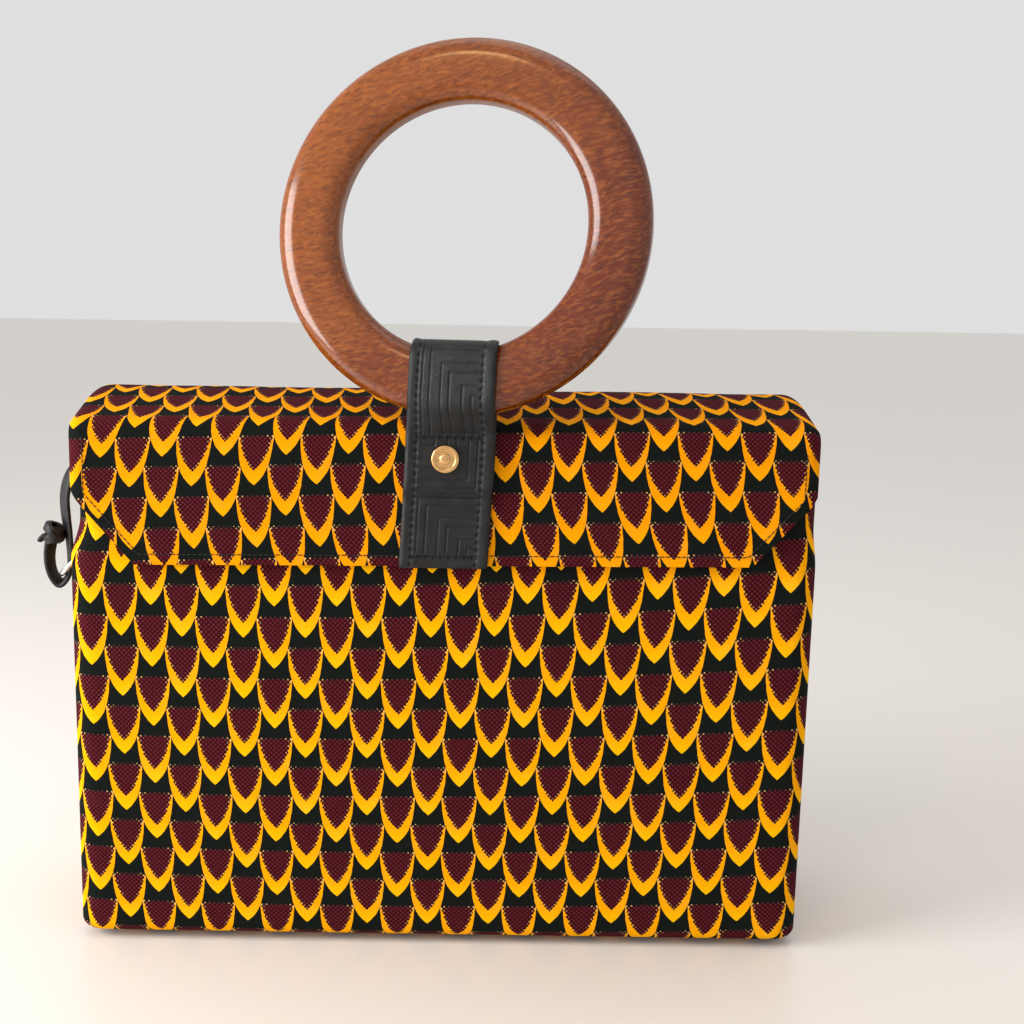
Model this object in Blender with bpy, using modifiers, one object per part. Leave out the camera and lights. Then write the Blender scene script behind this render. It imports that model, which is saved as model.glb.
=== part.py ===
"""Fabric box handbag with a round wooden handle.

A stiffened, print-covered box with an arched flap top. A wooden ring stands on the front edge
of the flap, held by a leather strap that wraps round it and runs down the front to the hem.
A short leather tie is knotted through a D-ring on the left side, and four domed feet carry the
box. Metres, +Z up. The front faces -Y and the floor is z = 0. The origin is the middle of the
floor area that the whole bag covers, the side tie included.
"""
import math

import bmesh
import bpy
from mathutils import Matrix, Vector

# Box
BAG_WIDTH = 0.306
BAG_DEPTH = 0.090
BOX_WALL = 0.003
CORNER_RADIUS = 0.010
BOTTOM_RADIUS = 0.004
LEFT_DIP = 0.0043
RIGHT_DIP = 0.0017
RIM_GAP = 0.0022

# Flap: outer surface from the back lap over the arched top to the front hem
FLAP_TOP = 0.2320
FLAP_WIDTH = 0.2992
FLAP_THICKNESS = 0.003
FLAP_STANDOFF = 0.001
FLAP_BEND_RADIUS = 0.008
TOP_SLOPE = math.radians(13.5)
RIDGE_RADIUS = 0.070
HEM_HEIGHT = 0.1656
HEM_RISE = 0.0106
CHAMFER_WIDTH = 0.026
CHAMFER_HEIGHT = 0.029
BACK_LAP = 0.045
LAP_INSET = 0.0075
LIP_RADIUS = 0.007
LIP_TURN = math.radians(50)
BACK_SEAM_GAP = 0.0003

# Wooden ring
RING_OUTER_RADIUS = 0.075
RING_INNER_RADIUS = 0.050
RING_THICKNESS = 0.016
RING_EDGE_RADIUS = 0.006
RING_LEAN = math.radians(12.1)
RING_TURN = math.radians(-12.1)
RING_BOTTOM = Vector((0.0025, -0.0503, 0.2262))

# Handle strap
STRAP_WIDTH = 0.0356
STRAP_THICKNESS = 0.0020
STRAP_GAP = 0.0003
STRAP_JOIN_DROP = 0.0082
STRAP_JOIN_LENGTH = 0.0190
STRAP_CREASE = 0.004
STRAP_TAIL_MARGIN = 0.0006
STRAP_COLUMNS = 8

# Stud
STUD_DIAMETER = 0.0111
STUD_HEIGHT = 0.0022
STUD_DROP = 0.0082
STUD_OFFSET = -0.0015

# Feet
FOOT_DIAMETER = 0.010
FOOT_HEIGHT = 0.003
FOOT_X = 0.073
FOOT_INSET = 0.014

# D-ring, its tab and the tie on the left side
D_WIRE_RADIUS = 0.0010
D_HALF_WIDTH = 0.008
D_DEPTH = 0.016
D_SLANT = math.radians(46)
D_BAR_HEIGHT = 0.1605
D_BAR_STANDOFF = 0.0030
TAB_WIDTH = 0.012
TAB_THICKNESS = 0.0012
TAB_LENGTH = 0.020
TIE_WIDTH = 0.007
TIE_THICKNESS = 0.0020
TIE_TURN = math.radians(30)
TIE_RISE = 0.0515
TIE_FALL = 0.0162
TIE_BULGE = 0.0190
KNOT_HALF_X = 0.0045
KNOT_HALF_Y = 0.0048
KNOT_HALF_Z = 0.0052
KNOT_OUT = 0.0168
KNOT_RISE = 0.0068
TIP_RADIUS = 0.0014
TIP_OUT = 0.0222
TIP_RISE = 0.0055
SEAT_GAP = 0.0003

FOOT_TOP = FOOT_HEIGHT
BOX_BOTTOM = FOOT_HEIGHT + SEAT_GAP
HALF_WIDTH = BAG_WIDTH / 2
HALF_DEPTH = BAG_DEPTH / 2
FLAP_FRONT = HALF_DEPTH + FLAP_STANDOFF + FLAP_THICKNESS
FLAP_BACK = HALF_DEPTH + BACK_SEAM_GAP + FLAP_THICKNESS
STRAP_JOIN_HEIGHT = RING_BOTTOM.z - STRAP_JOIN_DROP
STRAP_BACK_END = STRAP_JOIN_HEIGHT - STRAP_JOIN_LENGTH
STRAP_TAIL_END = HEM_HEIGHT - STRAP_TAIL_MARGIN
STUD_Z = STRAP_JOIN_HEIGHT - STUD_DROP
TIE_TOP = D_BAR_HEIGHT + TIE_RISE
TIE_FOOT = D_BAR_HEIGHT - TIE_FALL
BAG_X = TIP_OUT / 2

RING_AXIS = Vector((math.sin(RING_TURN) * math.cos(RING_LEAN),
                    -math.cos(RING_TURN) * math.cos(RING_LEAN),
                    math.sin(RING_LEAN)))
RING_ACROSS = Vector((math.cos(RING_TURN), math.sin(RING_TURN), 0))
RING_UP = RING_AXIS.cross(RING_ACROSS)


def clear_scene():
    for obj in list(bpy.data.objects):
        bpy.data.objects.remove(obj)


def material(name, color, roughness, metallic=0.0):
    mat = bpy.data.materials.new(name)
    mat.use_nodes = True
    shader = mat.node_tree.nodes["Principled BSDF"]
    shader.inputs["Base Color"].default_value = (*color, 1)
    shader.inputs["Roughness"].default_value = roughness
    shader.inputs["Metallic"].default_value = metallic
    return mat


def add_object(name, mesh, mat, collection, parent):
    obj = bpy.data.objects.new(name, mesh)
    obj.data.materials.append(mat)
    collection.objects.link(obj)
    obj.parent = parent
    obj.data.shade_smooth()
    obj.data.set_sharp_from_angle(angle=math.radians(40))
    return obj


def grid_mesh(name, rows, closed_rows=False):
    """A surface from rows of points. Rows run up the piece, and points run along each row."""
    bm = bmesh.new()
    grid = [[bm.verts.new(point) for point in row] for row in rows]
    count = len(rows[0])
    spans = count if closed_rows else count - 1
    for lower, upper in zip(grid, grid[1:]):
        for k in range(spans):
            n = (k + 1) % count
            bm.faces.new((lower[k], lower[n], upper[n], upper[k]))
    mesh = bpy.data.meshes.new(name)
    bm.to_mesh(mesh)
    bm.free()
    return mesh


def add_wall(obj, thickness, offset):
    """Gives a surface a wall. Offset -1 grows it inwards, 0 to both sides."""
    wall = obj.modifiers.new("wall", "SOLIDIFY")
    wall.thickness = thickness
    wall.offset = offset
    wall.use_even_offset = True
    return wall


def arc(centre, radius, start, end, steps):
    """Points on an arc in a plane, with angles in radians from its first axis."""
    points = []
    for k in range(steps + 1):
        angle = start + (end - start) * k / steps
        points.append((centre[0] + radius * math.cos(angle), centre[1] + radius * math.sin(angle)))
    return points


# Profile of the flap's outer surface, as a height over a distance from the middle of the depth
RIDGE_HALF = RIDGE_RADIUS * math.sin(TOP_SLOPE)
RIDGE_DROP = RIDGE_RADIUS * (1 - math.cos(TOP_SLOPE))


def bend_centre(reach):
    """Centre of the bend between the sloping top and an upright face that stands at reach."""
    across = reach - FLAP_BEND_RADIUS
    slope_end = across + FLAP_BEND_RADIUS * math.sin(TOP_SLOPE)
    slope_drop = (slope_end - RIDGE_HALF) * math.tan(TOP_SLOPE)
    height = FLAP_TOP - RIDGE_DROP - slope_drop - FLAP_BEND_RADIUS * math.cos(TOP_SLOPE)
    return across, height


def top_height(distance, reach):
    """Height of the flap's outer surface at a distance from the middle of the depth."""
    across, height = bend_centre(reach)
    slope_end = across + FLAP_BEND_RADIUS * math.sin(TOP_SLOPE)
    if distance < RIDGE_HALF:
        return FLAP_TOP - RIDGE_RADIUS + math.sqrt(RIDGE_RADIUS ** 2 - distance ** 2)
    if distance < slope_end:
        return FLAP_TOP - RIDGE_DROP - (distance - RIDGE_HALF) * math.tan(TOP_SLOPE)
    return height + math.sqrt(max(FLAP_BEND_RADIUS ** 2 - (distance - across) ** 2, 0.0))


# Levels of the box wall: height and side dip as shares of the wall height and of the dips
BOX_LEVELS = (
    ("foot_of_wall", 0.04, 0.0),
    ("low", 0.20, 0.0),
    ("middle", 0.45, 0.0),
    ("high", 0.70, 0.0),
    ("dip_start", 0.735, 0.0),
    ("dip_half", 0.775, 0.55),
    ("dip_full", 0.82, 1.0),
    ("rim", 1.0, 1.0),
)
CORNER_STEPS = 5
BOTTOM_STEPS = 3
FRONT_STEPS = 10
SIDE_STEPS = 6


def box_outline(inset, dip):
    """Rounded rectangle seen from above, anticlockwise, with its sides drawn in by the dip."""
    radius = CORNER_RADIUS
    half_x = {-1: HALF_WIDTH - LEFT_DIP * dip - inset, 1: HALF_WIDTH - RIGHT_DIP * dip - inset}
    half_y = HALF_DEPTH - inset
    points = []
    corners = ((1, -1, -90, FRONT_STEPS), (1, 1, 0, SIDE_STEPS), (-1, 1, 90, FRONT_STEPS), (-1, -1, 180, SIDE_STEPS))
    for side, end, start, straight in corners:
        centre = (side * (half_x[side] - radius), end * (half_y - radius))
        corner = arc(centre, radius, math.radians(start), math.radians(start + 90), CORNER_STEPS)
        if points:
            last = points[-1]
            points += [(last[0] + (corner[0][0] - last[0]) * k / straight,
                        last[1] + (corner[0][1] - last[1]) * k / straight) for k in range(1, straight)]
        points += corner
    first, last = points[0], points[-1]
    points += [(last[0] + (first[0] - last[0]) * k / FRONT_STEPS,
                last[1] + (first[1] - last[1]) * k / FRONT_STEPS) for k in range(1, FRONT_STEPS)]
    return points


def rim_height(y):
    reach = FLAP_FRONT if y < 0 else FLAP_BACK
    return top_height(abs(y), reach) - FLAP_THICKNESS - RIM_GAP


def build_box(mat, collection, parent):
    rows = []
    for k in range(BOTTOM_STEPS + 1):
        angle = math.pi / 2 * k / BOTTOM_STEPS
        inset = BOTTOM_RADIUS * (1 - math.sin(angle))
        z = BOX_BOTTOM + BOTTOM_RADIUS * (1 - math.cos(angle))
        rows.append([(x, y, z) for x, y in box_outline(inset, 0.0)])
    for name, share, dip in BOX_LEVELS:
        row = []
        for x, y in box_outline(0.0, dip):
            top = rim_height(y)
            z = BOX_BOTTOM + BOTTOM_RADIUS + (top - BOX_BOTTOM - BOTTOM_RADIUS) * share
            row.append((x, y, z))
        rows.append(row)
    mesh = grid_mesh("box", rows, closed_rows=True)
    bm = bmesh.new()
    bm.from_mesh(mesh)
    bm.verts.ensure_lookup_table()
    floor = [bm.verts[k] for k in range(len(rows[0]))]
    bm.faces.new(list(reversed(floor)))
    bm.to_mesh(mesh)
    bm.free()
    obj = add_object("box", mesh, mat, collection, parent)
    add_wall(obj, BOX_WALL, -1)
    return obj


LIP_STEPS = 4
FLAT_STEPS = 10
BEND_STEPS = 5
RIDGE_STEPS = 6
SLOPE_STEPS = 2
LAP_STEPS = 2
DROP_STEPS = 8
FLAT_HALF = FLAP_WIDTH / 2 - LIP_RADIUS * math.sin(LIP_TURN)
LIP_LENGTH = LIP_RADIUS * LIP_TURN


def flap_profile():
    """Points of the flap's outer surface with their outward normals, back lap to front hem.

    Each point is (y, z, normal_y, normal_z, share of the front drop, share of the lap's inset).
    """
    points = []
    back_y, back_z = bend_centre(FLAP_BACK)
    front_y, front_z = bend_centre(FLAP_FRONT)
    for k in range(LAP_STEPS):
        points.append((FLAP_BACK, back_z - BACK_LAP * (1 - k / LAP_STEPS), 1, 0, 0, 1))
    for k in range(BEND_STEPS + 1):
        angle = (math.pi / 2 - TOP_SLOPE) * k / BEND_STEPS
        c, s = math.cos(angle), math.sin(angle)
        points.append((back_y + FLAP_BEND_RADIUS * c, back_z + FLAP_BEND_RADIUS * s, c, s, 0,
                       1 - k / BEND_STEPS))
    slope_start = points[-1]
    for k in range(1, SLOPE_STEPS):
        y = slope_start[0] + (RIDGE_HALF - slope_start[0]) * k / SLOPE_STEPS
        points.append((y, top_height(y, FLAP_BACK), math.sin(TOP_SLOPE), math.cos(TOP_SLOPE), 0, 0))
    for k in range(RIDGE_STEPS + 1):
        angle = TOP_SLOPE * (1 - 2 * k / RIDGE_STEPS)
        y = RIDGE_RADIUS * math.sin(angle)
        points.append((y, top_height(abs(y), FLAP_FRONT), math.sin(angle), math.cos(angle), 0, 0))
    slope_end = front_y + FLAP_BEND_RADIUS * math.sin(TOP_SLOPE)
    for k in range(1, SLOPE_STEPS):
        y = RIDGE_HALF + (slope_end - RIDGE_HALF) * k / SLOPE_STEPS
        points.append((-y, top_height(y, FLAP_FRONT), -math.sin(TOP_SLOPE), math.cos(TOP_SLOPE), 0, 0))
    for k in range(BEND_STEPS + 1):
        angle = math.pi / 2 + TOP_SLOPE + (math.pi / 2 - TOP_SLOPE) * k / BEND_STEPS
        c, s = math.cos(angle), math.sin(angle)
        points.append((-front_y + FLAP_BEND_RADIUS * c, front_z + FLAP_BEND_RADIUS * s, c, s, 0, 0))
    for k in range(1, DROP_STEPS + 1):
        points.append((-FLAP_FRONT, front_z, -1, 0, k / DROP_STEPS, 0))
    return points


def build_flap(mat, collection, parent):
    front_z = bend_centre(FLAP_FRONT)[1]
    drop = front_z - HEM_HEIGHT
    full = FLAT_HALF + LIP_LENGTH
    rows = []
    for y, z, normal_y, normal_z, share, inset in flap_profile():
        above_hem = drop * (1 - share)
        cut = CHAMFER_WIDTH * max(0.0, 1 - above_hem / CHAMFER_HEIGHT) + LAP_INSET * inset
        half = full - cut
        flat = min(FLAT_HALF, half)
        across = [-half + (half - flat) * k / LIP_STEPS for k in range(LIP_STEPS)]
        across += [-flat + 2 * flat * k / FLAT_STEPS for k in range(FLAT_STEPS + 1)]
        across += [flat + (half - flat) * k / LIP_STEPS for k in range(1, LIP_STEPS + 1)]
        if half <= FLAT_HALF:
            across = [-half + 2 * half * k / (len(across) - 1) for k in range(len(across))]
        row = []
        for u in across:
            lip = max(0.0, abs(u) - FLAT_HALF) / LIP_RADIUS
            x = math.copysign(min(abs(u), FLAT_HALF) + LIP_RADIUS * math.sin(lip), u)
            inward = LIP_RADIUS * (1 - math.cos(lip))
            fall = (drop - HEM_RISE * x) * share
            row.append((x, y - normal_y * inward, z - normal_z * inward - fall))
        rows.append(row)
    mesh = grid_mesh("flap", rows[::-1])
    obj = add_object("flap", mesh, mat, collection, parent)
    add_wall(obj, FLAP_THICKNESS, -1)
    return obj


def build_ring(mat, collection, parent):
    """A turned ring: its section is swept about the axis, and the whole is then leaned and turned."""
    half = RING_THICKNESS / 2
    flat = half - RING_EDGE_RADIUS
    outer = RING_OUTER_RADIUS - RING_EDGE_RADIUS
    inner = RING_INNER_RADIUS + RING_EDGE_RADIUS
    edge_steps = 4
    section = arc((outer, flat), RING_EDGE_RADIUS, math.pi / 2, 0, edge_steps)
    section += arc((outer, -flat), RING_EDGE_RADIUS, 0, -math.pi / 2, edge_steps)
    section += arc((inner, -flat), RING_EDGE_RADIUS, -math.pi / 2, -math.pi, edge_steps)
    section += arc((inner, flat), RING_EDGE_RADIUS, math.pi, math.pi / 2, edge_steps)
    mesh = bpy.data.meshes.new("ring_handle")
    bm = bmesh.new()
    verts = [bm.verts.new((radius, 0, height)) for radius, height in section]
    for k, vert in enumerate(verts):
        bm.edges.new((vert, verts[(k + 1) % len(verts)]))
    bm.to_mesh(mesh)
    bm.free()
    obj = add_object("ring_handle", mesh, mat, collection, parent)
    sweep = obj.modifiers.new("sweep", "SCREW")
    sweep.axis = "Z"
    sweep.steps = 84
    sweep.render_steps = 84
    sweep.use_merge_vertices = True
    sweep.merge_threshold = 0.00002
    centre = RING_BOTTOM + RING_UP * RING_OUTER_RADIUS
    frame = Matrix((RING_ACROSS, RING_UP, RING_AXIS)).transposed().to_4x4()
    obj.matrix_local = Matrix.Translation(centre) @ frame
    return obj


def ring_plane(back, up):
    """A place in the ring's own section, as distance behind the ring's foot and height."""
    return (back * math.cos(RING_LEAN) + up * math.sin(RING_LEAN),
            RING_BOTTOM.z - back * math.sin(RING_LEAN) + up * math.cos(RING_LEAN))


def strap_column(across):
    """Middle line of the strap at a distance from its own centre line.

    It starts at the hidden end behind, goes up over the flap's bend and behind the ring, over the
    ring's inner rim, down its front and on down to the tail. Points on the ring stand in the
    turned section of the ring, and all others lie square on the flap.
    """
    off = STRAP_GAP + STRAP_THICKNESS / 2
    foot_y = RING_BOTTOM.y + across * math.sin(RING_TURN)
    outer_rise = RING_OUTER_RADIUS - math.sqrt(RING_OUTER_RADIUS ** 2 - across ** 2)
    inner_rise = RING_INNER_RADIUS - math.sqrt(RING_INNER_RADIUS ** 2 - (STRAP_WIDTH / 2) ** 2)
    flat = RING_THICKNESS / 2 - RING_EDGE_RADIUS
    wrap = RING_EDGE_RADIUS + off
    low = RING_EDGE_RADIUS + outer_rise
    high = RING_OUTER_RADIUS - RING_INNER_RADIUS - RING_EDGE_RADIUS + inner_rise
    low_back = ring_plane(flat, low)
    low_front = ring_plane(-flat, low)
    bend_y, bend_z = bend_centre(FLAP_FRONT)
    bend = (-bend_y - foot_y, bend_z)
    back_layer = -FLAP_FRONT - foot_y - off
    front_layer = back_layer - STRAP_THICKNESS - STRAP_GAP

    reach = math.hypot(low_back[0] - bend[0], low_back[1] - bend[1])
    to_ring = math.atan2(low_back[1] - bend[1], low_back[0] - bend[0])
    leave = to_ring + math.acos(min((FLAP_BEND_RADIUS + off + wrap) / reach, 1.0))
    join = (front_layer, STRAP_JOIN_HEIGHT + STRAP_CREASE / 2)
    span = math.hypot(join[0] - low_front[0], join[1] - low_front[1])
    to_join = math.atan2(join[1] - low_front[1], join[0] - low_front[0]) + 2 * math.pi
    drop_off = to_join - math.acos(wrap / span)

    flap_part = [(back_layer, STRAP_BACK_END), (back_layer, (STRAP_BACK_END + bend_z) / 2)]
    flap_part += arc(bend, FLAP_BEND_RADIUS + off, math.pi, leave, 4)
    ring_part = arc(low_back, wrap, leave - math.pi, -RING_LEAN, 3)
    ring_part += arc(ring_plane(flat, high), wrap, -RING_LEAN, math.pi / 2 - RING_LEAN, 4)
    ring_part += arc(ring_plane(-flat, high), wrap, math.pi / 2 - RING_LEAN, math.pi - RING_LEAN, 4)
    ring_part += arc(low_front, wrap, math.pi - RING_LEAN, drop_off, 3)
    tail_top = STRAP_BACK_END - STRAP_CREASE
    tail = [join, (front_layer, (STRAP_JOIN_HEIGHT + STRAP_BACK_END) / 2), (front_layer, STRAP_BACK_END + 0.001)]
    tail += [(back_layer, tail_top - (tail_top - STRAP_TAIL_END) * k / 4) for k in range(5)]

    def square(place):
        share = (place[1] - STRAP_TAIL_END) / (bend_z - STRAP_TAIL_END)
        return Vector((across + RING_BOTTOM.x * min(share, 1.0), foot_y + place[0], place[1]))

    def turned_place(place):
        side = RING_BOTTOM.x + across * math.cos(RING_TURN) - place[0] * math.sin(RING_TURN)
        return Vector((side, foot_y + place[0] * math.cos(RING_TURN), place[1]))

    return [square(p) for p in flap_part] + [turned_place(p) for p in ring_part] + [square(p) for p in tail]


def strap_front():
    """How far forward the strap stands, which is the foremost place of the whole bag."""
    nearest = min(point.y for side in (-0.5, 0.5) for point in strap_column(STRAP_WIDTH * side))
    return nearest - STRAP_THICKNESS / 2


def build_strap(mat, collection, parent):
    columns = [strap_column(STRAP_WIDTH * (k / STRAP_COLUMNS - 0.5)) for k in range(STRAP_COLUMNS + 1)]
    mesh = grid_mesh("handle_strap", list(zip(*columns)))
    obj = add_object("handle_strap", mesh, mat, collection, parent)
    add_wall(obj, STRAP_THICKNESS, 0)
    return obj


def turned(name, profile, mat, collection, parent, steps=20):
    """A solid turned about Z from a closed half profile that starts and ends on the axis."""
    mesh = bpy.data.meshes.new(name)
    bm = bmesh.new()
    verts = [bm.verts.new((radius, 0, height)) for radius, height in profile]
    for first, second in zip(verts, verts[1:]):
        bm.edges.new((first, second))
    bm.to_mesh(mesh)
    bm.free()
    obj = add_object(name, mesh, mat, collection, parent)
    sweep = obj.modifiers.new("sweep", "SCREW")
    sweep.axis = "Z"
    sweep.steps = steps
    sweep.render_steps = steps
    sweep.use_merge_vertices = True
    sweep.merge_threshold = 0.00002
    return obj


def build_stud(mat, collection, parent):
    radius = STUD_DIAMETER / 2
    rim = STUD_HEIGHT * 0.75
    profile = [(0, STUD_HEIGHT * 0.9), (radius * 0.25, STUD_HEIGHT * 0.85), (radius * 0.45, STUD_HEIGHT * 0.5),
               (radius * 0.68, STUD_HEIGHT * 0.5), (radius * 0.8, rim), (radius * 0.93, rim),
               (radius, rim * 0.55), (radius, 0), (0, 0)]
    obj = turned("stud", profile, mat, collection, parent)
    off = STRAP_GAP + STRAP_THICKNESS / 2
    front_face = -FLAP_FRONT - 2 * off - STRAP_THICKNESS - STRAP_GAP
    side = RING_BOTTOM.x * (STUD_Z - STRAP_TAIL_END) / (RING_BOTTOM.z - STRAP_TAIL_END)
    obj.location = (side + STUD_OFFSET, front_face - STRAP_GAP, STUD_Z)
    obj.rotation_euler = (math.pi / 2, 0, 0)
    return obj


def build_feet(mat, collection, parent):
    radius = FOOT_DIAMETER / 2
    profile = [(0, FOOT_TOP), (radius, FOOT_TOP), (radius, FOOT_HEIGHT * 0.6), (radius * 0.9, FOOT_HEIGHT * 0.3),
               (radius * 0.7, FOOT_HEIGHT * 0.08), (radius * 0.5, 0), (0, 0)]
    foot_y = HALF_DEPTH - FOOT_INSET
    for name, side, end in (("foot_front_left", -1, -1), ("foot_front_right", 1, -1),
                            ("foot_back_left", -1, 1), ("foot_back_right", 1, 1)):
        obj = turned(name, profile, mat, collection, parent)
        obj.location = (side * FOOT_X, end * foot_y, 0)


def d_point(along, out):
    """A place on the D-ring: along its bar, and out from the bar in its slanting plane."""
    return Vector((-HALF_WIDTH - D_BAR_STANDOFF - out * math.cos(D_SLANT), along,
                   D_BAR_HEIGHT - out * math.sin(D_SLANT)))


def tube(name, points, radius, mat, collection, parent, cyclic=False):
    """A round wire along points, made a mesh so that it is one closed body."""
    curve = bpy.data.curves.new(name, "CURVE")
    curve.dimensions = "3D"
    curve.bevel_depth = radius
    curve.bevel_resolution = 2
    curve.use_fill_caps = not cyclic
    spline = curve.splines.new("POLY")
    spline.points.add(len(points) - 1)
    for target, point in zip(spline.points, points):
        target.co = (*point, 1)
    spline.use_cyclic_u = cyclic
    obj = bpy.data.objects.new(name, curve)
    curve.materials.append(mat)
    collection.objects.link(obj)
    obj.parent = parent
    return obj


def build_d_ring(mat, collection, parent):
    leg = D_DEPTH - D_HALF_WIDTH
    corner = 0.25
    points = [d_point(0, 0), d_point(D_HALF_WIDTH * (1 - corner), 0), d_point(D_HALF_WIDTH, leg * corner)]
    for k in range(9):
        angle = math.pi * k / 8
        points.append(d_point(D_HALF_WIDTH * math.cos(angle), leg + D_HALF_WIDTH * math.sin(angle)))
    points += [d_point(-D_HALF_WIDTH, leg * corner), d_point(-D_HALF_WIDTH * (1 - corner), 0)]
    return tube("side_d_ring", points, D_WIRE_RADIUS, mat, collection, parent, cyclic=True)


def build_tab(mat, collection, parent):
    """A folded tab on the left side that holds the D-ring's bar."""
    off = SEAT_GAP + TAB_THICKNESS / 2
    wall = -HALF_WIDTH - off
    bar = d_point(0, 0)
    loop = D_WIRE_RADIUS + off
    outer = wall - TAB_THICKNESS - SEAT_GAP
    top = D_BAR_HEIGHT + TAB_LENGTH
    path = [(wall, top), (wall, D_BAR_HEIGHT + loop)]
    path += [(x, z) for x, z in arc((bar.x, bar.z), loop, 0, -math.pi, 6)]
    path += [(outer, D_BAR_HEIGHT + 3 * loop), (outer, top)]
    columns = 2
    rows = [[(x, TAB_WIDTH * (k / columns - 0.5), z) for k in range(columns + 1)] for x, z in path]
    mesh = grid_mesh("side_tab", rows)
    obj = add_object("side_tab", mesh, mat, collection, parent)
    add_wall(obj, TAB_THICKNESS, 0)
    return obj


# The tie's route in the plane of the side: out from the box wall as a share of the bulge, and
# down from its top end as a share of the height to the loop's foot, with how far its flat is turned
TIE_ROUTE = (
    ("sewn_end", -0.10, 0.00, 0.0),
    ("under_flap", 0.02, 0.08, 0.0),
    ("leaving", 0.30, 0.19, 0.5),
    ("bowing", 0.52, 0.30, 1.0),
    ("bowed", 0.63, 0.42, 1.0),
    ("behind_knot", 0.62, 0.55, 1.0),
    ("below_knot", 0.57, 0.68, 0.6),
    ("to_ring", 0.55, 0.82, 0.2),
    ("loop_in", 0.60, 0.935, 0.0),
    ("loop_foot", 0.79, 0.995, 0.0),
    ("loop_out", 0.97, 0.93, 0.0),
    ("rising", 1.03, 0.83, 0.3),
    ("into_knot", 0.98, 0.72, 0.6),
    ("knot_top", 0.88, 0.63, 0.6),
)


def tie_point(out, down):
    return (-HALF_WIDTH - TIE_BULGE * out, TIE_TOP - (TIE_TOP - TIE_FOOT) * down)


def form(name, collection, parent):
    """An empty shape that will be joined to a piece. It doesn't show by itself."""
    obj = bpy.data.objects.new(name, bpy.data.meshes.new(name))
    obj.hide_render = True
    obj.display_type = "WIRE"
    obj.parent = parent
    collection.objects.link(obj)
    return bmesh.new()


def join_form(piece, name, bm):
    """Writes the finished shape to its object, and joins it to the piece."""
    shape = bpy.data.objects[name]
    bm.to_mesh(shape.data)
    bm.free()
    union = piece.modifiers.new(name, "BOOLEAN")
    union.operation = "UNION"
    union.solver = "EXACT"
    union.object = shape


def build_tie(mat, collection, forms, parent):
    """The strap that is knotted through the D-ring: a flat ribbon joined to its knot and tip."""
    route = [(*tie_point(out, down), turn * TIE_TURN) for name, out, down, turn in TIE_ROUTE]
    fine = 3
    line = []
    for k in range(len(route) - 1):
        p0 = Vector(route[max(k - 1, 0)])
        p1 = Vector(route[k])
        p2 = Vector(route[k + 1])
        p3 = Vector(route[min(k + 2, len(route) - 1)])
        for j in range(fine):
            t = j / fine
            line.append(0.5 * (2 * p1 + (p2 - p0) * t + (2 * p0 - 5 * p1 + 4 * p2 - p3) * t ** 2
                               + (3 * p1 - p0 - 3 * p2 + p3) * t ** 3))
    line.append(Vector(route[-1]))
    rows = []
    for k, point in enumerate(line):
        ahead = line[min(k + 1, len(line) - 1)] - line[max(k - 1, 0)]
        normal = Vector((ahead.y, -ahead.x)).normalized()
        turn = point.z
        row = []
        for j in range(3):
            side = TIE_WIDTH * (j / 2 - 0.5)
            row.append((point.x + normal.x * side * math.sin(turn), side * math.cos(turn),
                        point.y + normal.y * side * math.sin(turn)))
        rows.append(row)
    mesh = grid_mesh("side_tie", rows)
    obj = add_object("side_tie", mesh, mat, collection, parent)
    add_wall(obj, TIE_THICKNESS, 0)
    knot = form("tie_knot_form", forms, parent)
    knot_at = Vector((-HALF_WIDTH - KNOT_OUT, 0, D_BAR_HEIGHT + KNOT_RISE))
    bmesh.ops.create_uvsphere(knot, u_segments=14, v_segments=8, radius=1)
    size = Matrix.Diagonal((KNOT_HALF_X, KNOT_HALF_Y, KNOT_HALF_Z, 1))
    bmesh.ops.transform(knot, matrix=Matrix.Translation(knot_at) @ size, verts=knot.verts)
    join_form(obj, "tie_knot_form", knot)
    tip = form("tie_tip_form", forms, parent)
    tip_length = TIP_OUT - KNOT_OUT
    tip_at = Vector((-HALF_WIDTH - KNOT_OUT - tip_length / 2, 0, D_BAR_HEIGHT + TIP_RISE))
    bmesh.ops.create_cone(tip, cap_ends=True, segments=10, radius1=TIP_RADIUS, radius2=TIP_RADIUS, depth=tip_length)
    turn = Matrix.Rotation(math.pi / 2, 4, "Y")
    bmesh.ops.transform(tip, matrix=Matrix.Translation(tip_at) @ turn, verts=tip.verts)
    join_form(obj, "tie_tip_form", tip)
    return obj


def main():
    clear_scene()
    parts = bpy.data.collections.new("handbag")
    forms = bpy.data.collections.new("joined_forms")
    bpy.context.scene.collection.children.link(parts)
    bpy.context.scene.collection.children.link(forms)
    bag = bpy.data.objects.new("bag_centre", None)
    bag.location = (BAG_X, -(strap_front() + FLAP_BACK) / 2, 0)
    parts.objects.link(bag)
    print_cloth = material("print_cloth", (0.20, 0.10, 0.03), 0.8)
    leather = material("black_leather", (0.02, 0.022, 0.022), 0.5)
    wood = material("wood", (0.28, 0.09, 0.04), 0.3)
    gold = material("gold_metal", (0.85, 0.62, 0.32), 0.3, 1.0)
    silver = material("silver_metal", (0.75, 0.75, 0.75), 0.3, 1.0)
    build_box(print_cloth, parts, bag)
    build_flap(print_cloth, parts, bag)
    build_ring(wood, parts, bag)
    build_strap(leather, parts, bag)
    build_stud(gold, parts, bag)
    build_feet(gold, parts, bag)
    build_d_ring(silver, parts, bag)
    build_tab(leather, parts, bag)
    build_tie(leather, parts, forms, bag)


main()
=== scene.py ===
"""The looks of a small box handbag: printed cotton over a stiff box, a wooden ring handle held by
an embossed leather strap, a gold stud, four feet, and a knotted leather tie on the left side.
"""
import bpy
import bmesh
import math
from mathutils import Matrix, Vector, noise


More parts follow.
